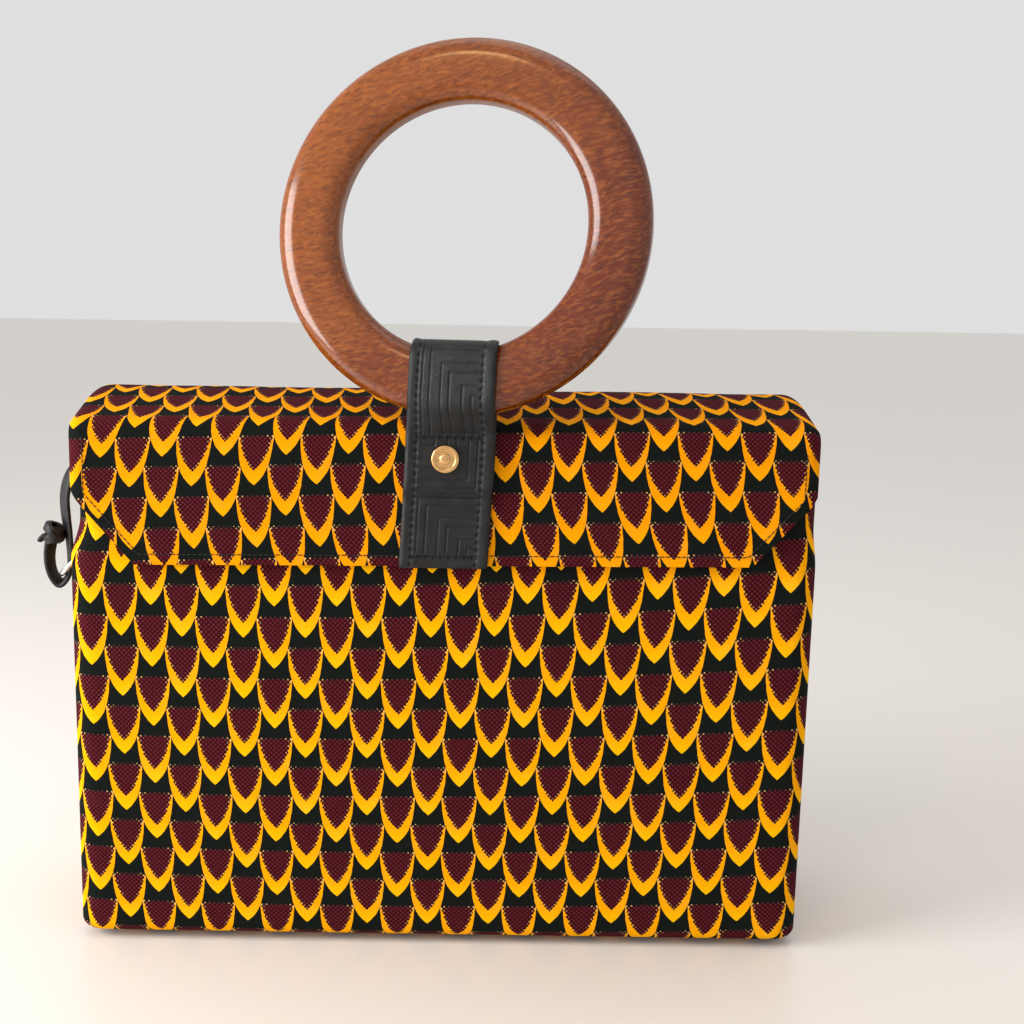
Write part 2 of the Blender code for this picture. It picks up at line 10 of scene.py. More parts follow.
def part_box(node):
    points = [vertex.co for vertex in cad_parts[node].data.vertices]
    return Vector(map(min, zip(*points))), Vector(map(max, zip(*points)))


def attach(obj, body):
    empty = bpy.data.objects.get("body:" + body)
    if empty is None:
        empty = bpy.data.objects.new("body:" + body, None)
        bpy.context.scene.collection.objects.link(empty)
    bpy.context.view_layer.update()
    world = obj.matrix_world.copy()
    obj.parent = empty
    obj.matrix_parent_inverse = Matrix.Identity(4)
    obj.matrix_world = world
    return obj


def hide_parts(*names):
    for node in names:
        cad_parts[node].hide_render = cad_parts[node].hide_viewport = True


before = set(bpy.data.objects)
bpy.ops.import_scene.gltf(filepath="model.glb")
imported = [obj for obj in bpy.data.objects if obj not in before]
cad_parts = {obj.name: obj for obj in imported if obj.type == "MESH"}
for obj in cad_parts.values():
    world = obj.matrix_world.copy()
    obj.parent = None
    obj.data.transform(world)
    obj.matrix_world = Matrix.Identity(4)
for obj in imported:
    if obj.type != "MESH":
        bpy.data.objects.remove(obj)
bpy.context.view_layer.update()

# The picture: a camera a little above the flap, looking down at the front of the bag, which
# stands on a pale floor in front of a pale wall, with soft light from the upper left.
BOX_LOW, BOX_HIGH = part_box("box")
CENTRE_X = (BOX_LOW[0] + BOX_HIGH[0]) / 2
CENTRE_Y = (BOX_LOW[1] + BOX_HIGH[1]) / 2
HALF_WIDTH = (BOX_HIGH[0] - BOX_LOW[0]) / 2
HALF_DEPTH = (BOX_HIGH[1] - BOX_LOW[1]) / 2
BOX_BOTTOM = BOX_LOW[2]
CAMERA_SIDE = 0.0045
CAMERA_DISTANCE = 0.5543
CAMERA_HEIGHT = 0.2857
CAMERA_PITCH = math.radians(10.09)
CAMERA_ROLL = math.radians(0.88)
CAMERA_LENS = 49.22
CAMERA_SHIFT = 0.0557
SENSOR_WIDTH = 36
NEAREST_SEEN = 0.02

scene = bpy.context.scene
camera = bpy.data.objects.new("camera", bpy.data.cameras.new("camera"))
camera.data.lens = CAMERA_LENS
camera.data.sensor_width = SENSOR_WIDTH
camera.data.shift_x = CAMERA_SHIFT
camera.data.clip_start = NEAREST_SEEN
camera.location = (CENTRE_X + CAMERA_SIDE, CENTRE_Y - HALF_DEPTH - CAMERA_DISTANCE, CAMERA_HEIGHT)
looking = Matrix.Rotation(math.pi / 2 - CAMERA_PITCH, 3, "X") @ Matrix.Rotation(CAMERA_ROLL, 3, "Z")
camera.rotation_euler = looking.to_euler()
scene.collection.objects.link(camera)
scene.camera = camera
scene.view_settings.view_transform = "Standard"


def paint(red, green, blue):
    """A colour as the screen shows it, from 0 to 255, in the linear values that shaders use."""
    def linear(value):
        value = value / 255
        return value / 12.92 if value <= 0.04045 else ((value + 0.055) / 1.055) ** 2.4
    return (linear(red), linear(green), linear(blue), 1.0)


def mesh_from(name, bm):
    """The mesh that was drawn in bm."""
    mesh = bpy.data.meshes.new(name)
    bm.to_mesh(mesh)
    bm.free()
    return mesh


FLOOR_COLOUR = paint(232, 226, 219)
FLOOR_ROUGHNESS = 0.32
FLOOR_SIZE = 6.0
floor_paint = bpy.data.materials.new("floor_paint")
floor_paint.use_nodes = True
floor_shader = floor_paint.node_tree.nodes["Principled BSDF"]
floor_shader.inputs["Base Color"].default_value = FLOOR_COLOUR
floor_shader.inputs["Roughness"].default_value = FLOOR_ROUGHNESS
bm = bmesh.new()
bmesh.ops.create_grid(bm, x_segments=1, y_segments=1, size=FLOOR_SIZE)
floor = bpy.data.objects.new("floor", mesh_from("floor", bm))
floor.data.materials.append(floor_paint)
scene.collection.objects.link(floor)

WORLD_LIGHT = 0.74
world = bpy.data.worlds.new("studio")
world.use_nodes = True
sky = world.node_tree.nodes["Background"]
sky.inputs["Color"].default_value = (1, 1, 1, 1)
sky.inputs["Strength"].default_value = WORLD_LIGHT
scene.world = world

LIGHTS_AIM = Vector((0, 0, 0.18))
LIGHTS = (
    # name, place, width, height, power, tint
    ("left_window", (-0.90, -0.34, 0.42), 0.54, 0.66, 13.0, (1.0, 1.0, 1.0)),
    ("front_fill", (-0.40, -1.15, 0.85), 1.20, 1.20, 0.8, (1.0, 0.98, 0.95)),
    ("top_panel", (0.10, 0.10, 1.30), 0.80, 0.80, 1.8, (1.0, 1.0, 1.0)),
    ("ceiling_lamp", (-0.31, -0.71, 1.01), 0.16, 0.16, 0.9, (1.0, 0.62, 0.26)),
)
for light_name, place, width, height, power, tint in LIGHTS:
    lamp = bpy.data.lights.new(light_name, "AREA")
    lamp.shape = "RECTANGLE"
    lamp.size = width
    lamp.size_y = height
    lamp.energy = power
    lamp.color = tint
    lamp_object = bpy.data.objects.new(light_name, lamp)
    lamp_object.location = place
    lamp_object.rotation_euler = (LIGHTS_AIM - Vector(place)).to_track_quat("-Z", "Y").to_euler()
    scene.collection.objects.link(lamp_object)

# The box: four stiffened cotton walls and a floor, covered with one wrap of printed cloth. The cloth
# is glued round the corners, and the sides are drawn in a little where the flap's lips press them.
WALL = 0.003
CORNER_RADIUS = 0.010
BOTTOM_RADIUS = 0.004
LEFT_DIP = 0.0043
RIGHT_DIP = 0.0017
DIP_START = 0.735
DIP_END = 0.82
FLAP_THICKNESS = 0.003
RIM_GAP = 0.0022
CLOTH_SWELL = 0.0007
CLOTH_RIPPLE = 0.00025
FRONT_COLUMNS = 46
SIDE_COLUMNS = 22
CORNER_COLUMNS = 8
WALL_ROWS = 68
BOTTOM_ROWS = 5
RIPPLES_ACROSS = 28
RIPPLES_UP = 24
FLAT_MARGIN = 0.001


def spread(start, end, steps):
    """Even values from start to end, with both ends."""
    return [start + (end - start) * k / steps for k in range(steps + 1)]


def arc(centre, radius, start_angle, end_angle, steps):
    return [(centre[0] + radius * math.cos(angle), centre[1] + radius * math.sin(angle))
            for angle in spread(start_angle, end_angle, steps)]


def smooth(value):
    value = min(max(value, 0.0), 1.0)
    return value * value * (3 - 2 * value)


def sheet_mesh(name, rows, uv_rows, ring=False):
    """A mesh from rows of points, with a UV for each. A ring's rows close on themselves."""
    bm = bmesh.new()
    layer = bm.loops.layers.uv.new("print")
    grid = [[bm.verts.new(point) for point in row] for row in rows]
    count = len(rows[0])
    for r in range(len(rows) - 1):
        for k in range(count if ring else count - 1):
            n = (k + 1) % count
            face = bm.faces.new((grid[r][k], grid[r][n], grid[r + 1][n], grid[r + 1][k]))
            corners = (uv_rows[r][k], uv_rows[r][k + 1], uv_rows[r + 1][k + 1], uv_rows[r + 1][k])
            for loop, uv in zip(face.loops, corners):
                loop[layer].uv = uv
    return mesh_from(name, bm)


def piece(name, mesh, finishes, body, nodes):
    """Puts a finished mesh in the scene as a piece of the bag."""
    made = bpy.data.objects.new(name, mesh)
    for each in finishes:
        mesh.materials.append(each)
    scene.collection.objects.link(made)
    mesh.shade_smooth()
    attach(made, body)
    if nodes:
        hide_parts(*nodes)
    return made


def settle(made):
    """Turns a piece's modifiers into plain mesh."""
    depsgraph = bpy.context.evaluated_depsgraph_get()
    mesh = bpy.data.meshes.new_from_object(made.evaluated_get(depsgraph))
    made.modifiers.clear()
    made.data = mesh


def thicken(made, thickness, even):
    """Gives a sheet its thickness inwards. Its inner side takes the last of its finishes."""
    wall = made.modifiers.new("wall", "SOLIDIFY")
    wall.thickness = thickness
    wall.offset = -1
    wall.use_even_offset = even
    wall.material_offset = len(made.data.materials) - 1


# How the print lies on the cloth. Each coordinate counts half repeats, from a tenth of a metre
# across and up: (constant, across, up, up twice, across and up, across twice).
PRINT_ON_BOX = {
    "column": (0.3739, 7.7526, -0.0133, -0.0435, -0.0436, -0.1260),
    "row": (3.8744, 0.1593, -7.8850, 0.3183, 0.1148, 0.1037),
    "height": 0.085,
}
PRINT_ON_FLAP = {
    "column": (5.0497, 7.9387, 0.3941, -1.8708, 0.6159, -0.0606),
    "row": (1.3618, 0.2023, -8.0688, -1.0015, 0.0490, -0.0286),
    "height": 0.195,
}
PRINT_REACH = 0.150
BOX_REACH_UP = 0.085
TENTH = 0.1


def print_place(lay, across, up, reach_up):
    """The UV of a place on the cloth. Past the reach, the print runs on evenly."""
    x = across / TENTH
    z = (up - lay["height"]) / TENTH
    near_x = min(max(x, -PRINT_REACH / TENTH), PRINT_REACH / TENTH)
    near_z = min(max(z, -reach_up / TENTH), reach_up / TENTH)
    values = []
    for key in ("column", "row"):
        constant, by_x, by_z, by_zz, by_xz, by_xx = lay[key]
        bent = by_zz * near_z ** 2 + by_xz * near_x * near_z + by_xx * near_x ** 2
        values.append(constant + by_x * x + by_z * z + bent)
    return values[0] / 2, -values[1] / 2


def half_outline(half_x, half_y, radius):
    """Half the box seen from above, from the middle of the front round to the middle of the back."""
    front = [(half_x - radius) * k / FRONT_COLUMNS for k in range(FRONT_COLUMNS)]
    points = [(x, -half_y) for x in front]
    points += arc((half_x - radius, radius - half_y), radius, -math.pi / 2, 0, CORNER_COLUMNS)
    span = 2 * (half_y - radius)
    points += [(half_x, radius - half_y + span * k / SIDE_COLUMNS) for k in range(1, SIDE_COLUMNS)]
    points += arc((half_x - radius, half_y - radius), radius, 0, math.pi / 2, CORNER_COLUMNS)
    points += [(x, half_y) for x in reversed(front)]
    return points


def outline(inset, dip):
    radius = CORNER_RADIUS - inset * 0.5
    right = half_outline(HALF_WIDTH - RIGHT_DIP * dip - inset, HALF_DEPTH - inset, radius)
    left = half_outline(HALF_WIDTH - LEFT_DIP * dip - inset, HALF_DEPTH - inset, radius)
    return [(-x, y) for x, y in reversed(left[1:-1])] + right


def running_lengths(points):
    """Length along the outline from the middle of the front, less than 0 on the left."""
    middle = points.index(min(points, key=lambda p: abs(p[0]) + (1 if p[1] > 0 else 0)))
    lengths = [0.0]
    for first, second in zip(points, points[1:] + points[:1]):
        lengths.append(lengths[-1] + math.dist(first, second))
    return [length - lengths[middle] for length in lengths]


# The flap's profile, shared with the box, whose rim follows it
FLAP_LOW, FLAP_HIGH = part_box("flap")
FLAP_TOP = FLAP_HIGH[2]
BEND_RADIUS = 0.008
TOP_SLOPE = math.radians(13.5)
RIDGE_RADIUS = 0.070
RIDGE_HALF = RIDGE_RADIUS * math.sin(TOP_SLOPE)
RIDGE_DROP = RIDGE_RADIUS * (1 - math.cos(TOP_SLOPE))
FRONT_REACH = CENTRE_Y - FLAP_LOW[1]
BACK_REACH = FLAP_HIGH[1] - CENTRE_Y
BEND_SINE = BEND_RADIUS * math.sin(TOP_SLOPE)


def bend_height(reach):
    """Height of the bend's centre, which stands a bend radius inside reach."""
    slope_drop = (reach - BEND_RADIUS + BEND_SINE - RIDGE_HALF) * math.tan(TOP_SLOPE)
    return FLAP_TOP - RIDGE_DROP - slope_drop - BEND_RADIUS * math.cos(TOP_SLOPE)


def top_height(distance, reach):
    slope_end = reach - BEND_RADIUS + BEND_SINE
    if distance < RIDGE_HALF:
        return FLAP_TOP - RIDGE_RADIUS + math.sqrt(RIDGE_RADIUS ** 2 - distance ** 2)
    if distance < slope_end:
        return FLAP_TOP - RIDGE_DROP - (distance - RIDGE_HALF) * math.tan(TOP_SLOPE)
    inside = max(BEND_RADIUS ** 2 - (distance - reach + BEND_RADIUS) ** 2, 0.0)
    return bend_height(reach) + math.sqrt(inside)


def ripple(x, y, z, size):
    """A soft unevenness of cloth over board."""
    return size * noise.noise(Vector((x * RIPPLES_ACROSS, y * RIPPLES_ACROSS, z * RIPPLES_UP)))


rows, uv_rows = [], []
plan = outline(0.0, 0.0)
lengths = running_lengths(plan)
levels = [(BOTTOM_RADIUS * (1 - math.sin(a)), BOTTOM_RADIUS * (1 - math.cos(a)), 0.0)
          for a in spread(0, math.pi / 2, BOTTOM_ROWS)[:-1]]
levels += [(0.0, BOTTOM_RADIUS, k / WALL_ROWS) for k in range(WALL_ROWS + 1)]
for inset, rise, share in levels:
    dip = smooth((share - DIP_START) / (DIP_END - DIP_START))
    swell = CLOTH_SWELL * math.sin(math.pi * min(share, 1.0)) if share > 0 else 0.0
    row, uv_row = [], []
    for k, (x, y) in enumerate(outline(inset, dip)):
        reach = FRONT_REACH if y < 0 else BACK_REACH
        top = top_height(abs(y), reach) - FLAP_THICKNESS - RIM_GAP
        z = BOX_BOTTOM + rise + (top - BOX_BOTTOM - BOTTOM_RADIUS) * share
        push = swell * (1 - (x / HALF_WIDTH) ** 2) + ripple(x, y, z, CLOTH_RIPPLE) * math.sin(math.pi * share)
        y += math.copysign(push, y) if abs(y) > HALF_DEPTH - FLAT_MARGIN else 0.0
        row.append((CENTRE_X + x, CENTRE_Y + y, z))
        uv_row.append(print_place(PRINT_ON_BOX, lengths[k], z - inset, BOX_REACH_UP))
    last = len(row)
    uv_row.append(print_place(PRINT_ON_BOX, lengths[last], row[0][2] - inset, BOX_REACH_UP))
    rows.append(row)
    uv_rows.append(uv_row)
box_mesh = sheet_mesh("box_cloth", rows, uv_rows, ring=True)
bm = bmesh.new()
bm.from_mesh(box_mesh)
bm.verts.ensure_lookup_table()
layer = bm.loops.layers.uv.verify()
base = bm.faces.new([bm.verts[k] for k in reversed(range(len(plan)))])
for loop in base.loops:
    x, y, z = loop.vert.co
    loop[layer].uv = print_place(PRINT_ON_BOX, x - CENTRE_X, -(y - CENTRE_Y + HALF_DEPTH), BOX_REACH_UP)
bm.to_mesh(box_mesh)
bm.free()


class Wire:
    """A socket of a material, with the operators that its maths uses."""

    def __init__(self, tree, socket=None):
        self.tree = tree
        self.socket = socket

    def node(self, kind, settings=None, inputs=None, output=0):
        """Any node: its settings go first, then the values or wires of its sockets."""
        made = self.tree.nodes.new(kind)
        for key, value in (settings or {}).items():
            setattr(made, key, value)
        for key, value in (inputs or {}).items():
            if isinstance(value, Wire):
                self.tree.links.new(value.socket, made.inputs[key])
            else:
                made.inputs[key].default_value = value
        return Wire(self.tree, made.outputs[output])

    def maths(self, operation, *values):
        return self.node("ShaderNodeMath", {"operation": operation}, dict(enumerate(values)))

    def __add__(self, other):
        return self.maths("ADD", self, other)

    def __radd__(self, other):
        return self.maths("ADD", other, self)

    def __sub__(self, other):
        return self.maths("SUBTRACT", self, other)

    def __rsub__(self, other):
        return self.maths("SUBTRACT", other, self)

    def __mul__(self, other):
        return self.maths("MULTIPLY", self, other)

    def __rmul__(self, other):
        return self.maths("MULTIPLY", other, self)

    def __gt__(self, other):
        return self.maths("GREATER_THAN", self, other)

    def __lt__(self, other):
        return self.maths("LESS_THAN", self, other)

    def __abs__(self):
        return self.maths("ABSOLUTE", self)

    def fract(self):
        return self.maths("FRACT", self)

    def vector(self, operation, inputs):
        return self.node("ShaderNodeVectorMath", {"operation": operation}, {0: self, **inputs})

    def part(self, number):
        """One number of this position: 0 across, 1 up, 2 deep."""
        return self.node("ShaderNodeSeparateXYZ", None, {0: self}, output=number)

    def ramp(self, low, high):
        """0 below low, 1 above high, and smooth between them."""
        inputs = {"Value": self, "From Min": low, "From Max": high}
        return self.node("ShaderNodeMapRange", {"interpolation_type": "SMOOTHSTEP"}, inputs)

    def mix(self, first, second):
        """first where this wire is 0, second where it is 1. Both are colours."""
        inputs = {0: self, 6: first, 7: second}
        return self.node("ShaderNodeMix", {"data_type": "RGBA"}, inputs, output=2)

    def noise(self, scale, detail=2.0, stretch=(1, 1, 1)):
        """Soft noise over this position, between 0 and 1."""
        place = self.node("ShaderNodeMapping", None, {"Vector": self, "Scale": stretch})
        return self.node("ShaderNodeTexNoise", None, {"Vector": place, "Scale": scale, "Detail": detail})

    def drift(self, scale, detail):
        """Soft noise over this position, as a colour of three values between 0 and 1."""
        inputs = {"Vector": self, "Scale": scale, "Detail": detail}
        return self.node("ShaderNodeTexNoise", None, inputs, output=1)

    def bump(self, distance, strength):
        inputs = {"Height": self, "Distance": distance, "Strength": strength}
        return self.node("ShaderNodeBump", None, inputs)


def finish(name, constants, place=("ShaderNodeTexCoord", None, 3)):
    """A new material with its constant sockets set: (material, wire of the place, shader).

    The place is the piece's own position in metres, unless another node is named for it.
    """
    made = bpy.data.materials.new(name)
    made.use_nodes = True
    shader = made.node_tree.nodes["Principled BSDF"]
    for key, value in constants.items():
        shader.inputs[key].default_value = value
    kind, settings, output = place
    return made, Wire(made.node_tree).node(kind, settings, output=output), shader


def connect(shader, name, wire):
    wire.tree.links.new(wire.socket, shader.inputs[name])


# One printed scale, as shares of the repeat: an arch that rises from its tip, a yellow band that
# is thick at the tip and thin up the sides, and a wine red field of fine dots with a jagged top.
SCALE_HALF = 0.295
SCALE_CURVE = 0.242
FIELD_HALF = 0.322
FIELD_CURVE = 0.306
FIELD_START = 0.226
SCALE_TOP = 0.815
DOT_PITCH = 0.080
JAG = 0.016
FIELD_JAG = 0.008
LINE_WIDTH = 0.012
LINE_FADE = (0.020, 0.062)
TOP_FADE = (0.01, 0.06)
TOP_SIDES = (0.13, 0.19)
BAND_FADE = (0.0, 0.35)
CREAM_FADE = (0.70, 0.84)
DOT_FADE = (0.35, 1.1)
CREAM_DOT_FADE = (0.75, 1.25)
WOBBLE_SCALE = 9.0
PRINT_WOBBLE = 0.016
WEAR_SCALE = 2.3
THREAD_PITCH = 0.019
THREAD_DEPTH = 0.00006
GROUND = paint(19, 24, 21)
BOX_YELLOWS = (paint(255, 192, 0), paint(255, 170, 0))
# Painted light: the flap's yellows are a more orange copy of the box's yellows, for the warm light that falls
# on the flap
FLAP_YELLOWS_WARM_LIT = (paint(252, 170, 0), paint(250, 156, 0))
CREAM = paint(226, 184, 104)
WINE = paint(62, 12, 17)
WINE_DOT = paint(100, 38, 50)
DOT_CREAM = paint(216, 172, 110)


def printed_cotton(name, yellows):
    print_map = ("ShaderNodeUVMap", {"uv_map": "print"}, 0)
    made, uv, shader = finish(name, {"Roughness": 0.9, "Specular IOR Level": 0.06}, print_map)
    wobble = uv.drift(WOBBLE_SCALE, 3.0).vector("SUBTRACT", {1: (0.5, 0.5, 0.5)})
    wobble = wobble.vector("SCALE", {"Scale": PRINT_WOBBLE})
    shifted = uv.vector("ADD", {1: wobble})
    across = shifted.part(0)
    up = shifted.part(1)
    turn = 2 * math.pi / DOT_PITCH
    dots = ((across + up) * turn).maths("COSINE", (across + up) * turn)
    dots = dots + dots.maths("COSINE", (across - up) * turn)
    colour = None
    for shift in (0.0, 0.5):
        side = abs((across + (shift + 0.5)).fract() - 0.5)
        rise = (up + shift).fract()
        edge = SCALE_HALF - SCALE_HALF * side.maths("EXPONENT", rise * (-1 / SCALE_CURVE)) - side
        climb = (rise - FIELD_START).maths("MAXIMUM", rise - FIELD_START, 0.0)
        field = FIELD_HALF - FIELD_HALF * side.maths("EXPONENT", climb * (-1 / FIELD_CURVE)) - side
        below_top = SCALE_TOP + dots * JAG - rise
        in_scale = (edge > 0.0) * (below_top > 0.0)
        in_field = (field > dots * FIELD_JAG + LINE_WIDTH) * (rise > FIELD_START)
        near_line = 1.0 - field.ramp(*LINE_FADE)
        near_top = (1.0 - below_top.ramp(*TOP_FADE)) * side.ramp(*TOP_SIDES)
        rim = near_line.maths("MAXIMUM", near_line, near_top)
        band = rise.ramp(*CREAM_FADE).mix(rise.ramp(*BAND_FADE).mix(*yellows), CREAM)
        cream_dot = dots.ramp(*CREAM_DOT_FADE) * rim
        wine = cream_dot.mix(dots.ramp(*DOT_FADE).mix(WINE, WINE_DOT), DOT_CREAM)
        colour = in_scale.mix(colour or GROUND, in_field.mix(band, wine))
    wear = uv.noise(WEAR_SCALE, 4.0)
    faded = colour.node("ShaderNodeHueSaturation", None,
                        {"Saturation": 1.02 - wear * 0.04, "Value": 0.87 + wear * 0.14, "Color": colour})
    connect(shader, "Base Color", faded)
    thread = 2 * math.pi / THREAD_PITCH
    weave = uv.maths("SINE", uv.part(0) * thread) * uv.maths("SINE", uv.part(1) * thread)
    connect(shader, "Normal", weave.bump(THREAD_DEPTH, 0.5))
    return made


box_print = printed_cotton("box_print", BOX_YELLOWS)
inner_cloth, spot, shader = finish("inner_cloth", {"Roughness": 0.85})
fuzz = spot.noise(900.0, 2.0)
connect(shader, "Base Color", fuzz.mix(paint(30, 28, 28), paint(46, 43, 42)))
connect(shader, "Normal", fuzz.bump(0.0001, 0.4))

box_cloth = piece("box_cloth", box_mesh, (box_print, inner_cloth), "bag", ("box",))
thicken(box_cloth, WALL, even=True)
settle(box_cloth)

# The flap: a stiffened printed panel sewn to the back, arched over the top and hanging down the
# front. Its two lower corners are cut off, its side edges turn down, and its hem is stitched.
FLAP_WIDTH = 0.2992
HEM_HEIGHT = 0.1656
HEM_RISE = 0.0106
CHAMFER_WIDTH = 0.026
CHAMFER_HEIGHT = 0.029
BACK_LAP = 0.045
LAP_INSET = 0.0075
LIP_RADIUS = 0.007
LIP_TURN = math.radians(50)
FLAT_HALF = FLAP_WIDTH / 2 - LIP_RADIUS * math.sin(LIP_TURN)
LIP_LENGTH = LIP_RADIUS * LIP_TURN
FLAT_COLUMNS = 120
LIP_COLUMNS = 6
DROP_ROWS = 26
BEND_ROWS = 12
SLOPE_ROWS = 14
RIDGE_ROWS = 10
LAP_ROWS = 12
ROUNDED_ANGLE = math.radians(60)
FLAP_RIPPLE = 0.00035
FLAP_REACH_UP = 0.035
EDGE_ROUND = 0.0007


def flap_profile():
    """The flap's outer surface from the back lap to the front hem.

    Each point is (y, z, normal_y, normal_z, share of the front drop, share of the lap's inset).
    """
    points = []
    back_y, back_z = BACK_REACH - BEND_RADIUS, bend_height(BACK_REACH)
    front_y, front_z = FRONT_REACH - BEND_RADIUS, bend_height(FRONT_REACH)
    sine, cosine = math.sin(TOP_SLOPE), math.cos(TOP_SLOPE)
    for k in range(LAP_ROWS):
        points.append((BACK_REACH, back_z - BACK_LAP * (1 - k / LAP_ROWS), 1, 0, 0, 1))
    for k, angle in enumerate(spread(0, math.pi / 2 - TOP_SLOPE, BEND_ROWS)):
        c, s = math.cos(angle), math.sin(angle)
        points.append((back_y + BEND_RADIUS * c, back_z + BEND_RADIUS * s, c, s, 0, 1 - k / BEND_ROWS))
    start = points[-1][0]
    for k in range(1, SLOPE_ROWS):
        y = start + (RIDGE_HALF - start) * k / SLOPE_ROWS
        points.append((y, top_height(y, BACK_REACH), sine, cosine, 0, 0))
    for angle in spread(TOP_SLOPE, -TOP_SLOPE, RIDGE_ROWS):
        y = RIDGE_RADIUS * math.sin(angle)
        points.append((y, top_height(abs(y), FRONT_REACH), math.sin(angle), math.cos(angle), 0, 0))
    for k in range(1, SLOPE_ROWS):
        y = RIDGE_HALF + (front_y + BEND_SINE - RIDGE_HALF) * k / SLOPE_ROWS
        points.append((-y, top_height(y, FRONT_REACH), -sine, cosine, 0, 0))
    for angle in spread(math.pi / 2 + TOP_SLOPE, math.pi, BEND_ROWS):
        c, s = math.cos(angle), math.sin(angle)
        points.append((-front_y + BEND_RADIUS * c, front_z + BEND_RADIUS * s, c, s, 0, 0))
    for k in range(1, DROP_ROWS + 1):
        points.append((-FRONT_REACH, front_z, -1, 0, k / DROP_ROWS, 0))
    return points


front_z = bend_height(FRONT_REACH)
drop = front_z - HEM_HEIGHT
profile = flap_profile()
climbs = [0.0]
for first, second in zip(profile[::-1], profile[-2::-1]):
    climbs.append(climbs[-1] + math.dist(first[:2], second[:2]))
climbs = climbs[::-1]
rows, uv_rows = [], []
for (y, z, normal_y, normal_z, share, inset), climb in zip(profile, climbs):
    cut = CHAMFER_WIDTH * max(0.0, 1 - drop * (1 - share) / CHAMFER_HEIGHT) + LAP_INSET * inset
    half = FLAT_HALF + LIP_LENGTH - cut
    flat = min(FLAT_HALF, half)
    across = spread(-half, -flat, LIP_COLUMNS)[:-1] + spread(-flat, flat, FLAT_COLUMNS)
    across += spread(flat, half, LIP_COLUMNS)[1:]
    if half <= FLAT_HALF:
        across = spread(-half, half, len(across) - 1)
    row, uv_row = [], []
    for u in across:
        lip = max(0.0, abs(u) - FLAT_HALF) / LIP_RADIUS
        x = math.copysign(min(abs(u), FLAT_HALF) + LIP_RADIUS * math.sin(lip), u)
        inward = LIP_RADIUS * (1 - math.cos(lip))
        fall = (drop - HEM_RISE * x) * share
        wave = ripple(x, y, z - fall, FLAP_RIPPLE) * (1 - lip)
        away = wave - inward
        row.append((CENTRE_X + x, CENTRE_Y + y + normal_y * away, z + normal_z * away - fall))
        up = front_z - fall if share > 0 else front_z + climb
        uv_row.append(print_place(PRINT_ON_FLAP, u, up, FLAP_REACH_UP))
    rows.append(row)
    uv_rows.append(uv_row)
flap_mesh = sheet_mesh("flap_panel", rows[::-1], uv_rows[::-1])
flap_print = printed_cotton("flap_print", FLAP_YELLOWS_WARM_LIT)
flap_panel = piece("flap_panel", flap_mesh, (flap_print, inner_cloth), "bag", ("flap",))
thicken(flap_panel, FLAP_THICKNESS, even=True)
rounding = flap_panel.modifiers.new("rounding", "BEVEL")
rounding.width = EDGE_ROUND
rounding.segments = 2
rounding.limit_method = "ANGLE"
rounding.angle_limit = ROUNDED_ANGLE
settle(flap_panel)

# The seams: every row of stitches is one thread, a low capsule laid along the surface for each
# stitch, made by one tree that follows a line drawn on the leather or the cloth.
black_thread, spot, shader = finish("black_thread", {"Roughness": 0.7})
connect(shader, "Base Color", spot.noise(1500.0).mix(paint(7, 7, 8), paint(20, 19, 20)))


def seam_tree():
    tree = bpy.data.node_groups.new("seam", "GeometryNodeTree")
    face = tree.interface
    face.new_socket("line", in_out="INPUT", socket_type="NodeSocketGeometry")
    for name in ("pitch", "stitch_length", "thread_radius"):
        face.new_socket(name, in_out="INPUT", socket_type="NodeSocketFloat")
    face.new_socket("thread", in_out="INPUT", socket_type="NodeSocketMaterial")
    face.new_socket("stitches", in_out="OUTPUT", socket_type="NodeSocketGeometry")
    given = tree.nodes.new("NodeGroupInput")
    result = tree.nodes.new("NodeGroupOutput")
    curve = tree.nodes.new("GeometryNodeMeshToCurve")
    spaced = tree.nodes.new("GeometryNodeResampleCurve")
    spaced.mode = "LENGTH"
    bead = tree.nodes.new("GeometryNodeMeshUVSphere")
    bead.inputs["Segments"].default_value = 6
    bead.inputs["Rings"].default_value = 4
    bead.inputs["Radius"].default_value = 1.0
    tangent = tree.nodes.new("GeometryNodeInputTangent")
    turn = tree.nodes.new("FunctionNodeAlignRotationToVector")
    turn.axis = "Z"
    size = tree.nodes.new("ShaderNodeCombineXYZ")
    half = tree.nodes.new("ShaderNodeMath")
    half.operation = "MULTIPLY"
    half.inputs[1].default_value = 0.5
    place = tree.nodes.new("GeometryNodeInstanceOnPoints")
    real = tree.nodes.new("GeometryNodeRealizeInstances")
    dressed = tree.nodes.new("GeometryNodeSetMaterial")
    links = (
        (given, "line", curve, "Mesh"), (curve, "Curve", spaced, "Curve"), (given, "pitch", spaced, "Length"),
        (spaced, "Curve", place, "Points"), (bead, "Mesh", place, "Instance"),
        (tangent, "Tangent", turn, "Vector"), (turn, "Rotation", place, "Rotation"),
        (given, "stitch_length", half, 0), (given, "thread_radius", size, "X"),
        (given, "thread_radius", size, "Y"), (half, "Value", size, "Z"), (size, "Vector", place, "Scale"),
        (place, "Instances", real, "Geometry"), (real, "Geometry", dressed, "Geometry"),
        (given, "thread", dressed, "Material"), (dressed, "Geometry", result, "stitches"),
    )
    for source, output, target, socket in links:
        tree.links.new(source.outputs[output], target.inputs[socket])
    return tree


seams = seam_tree()


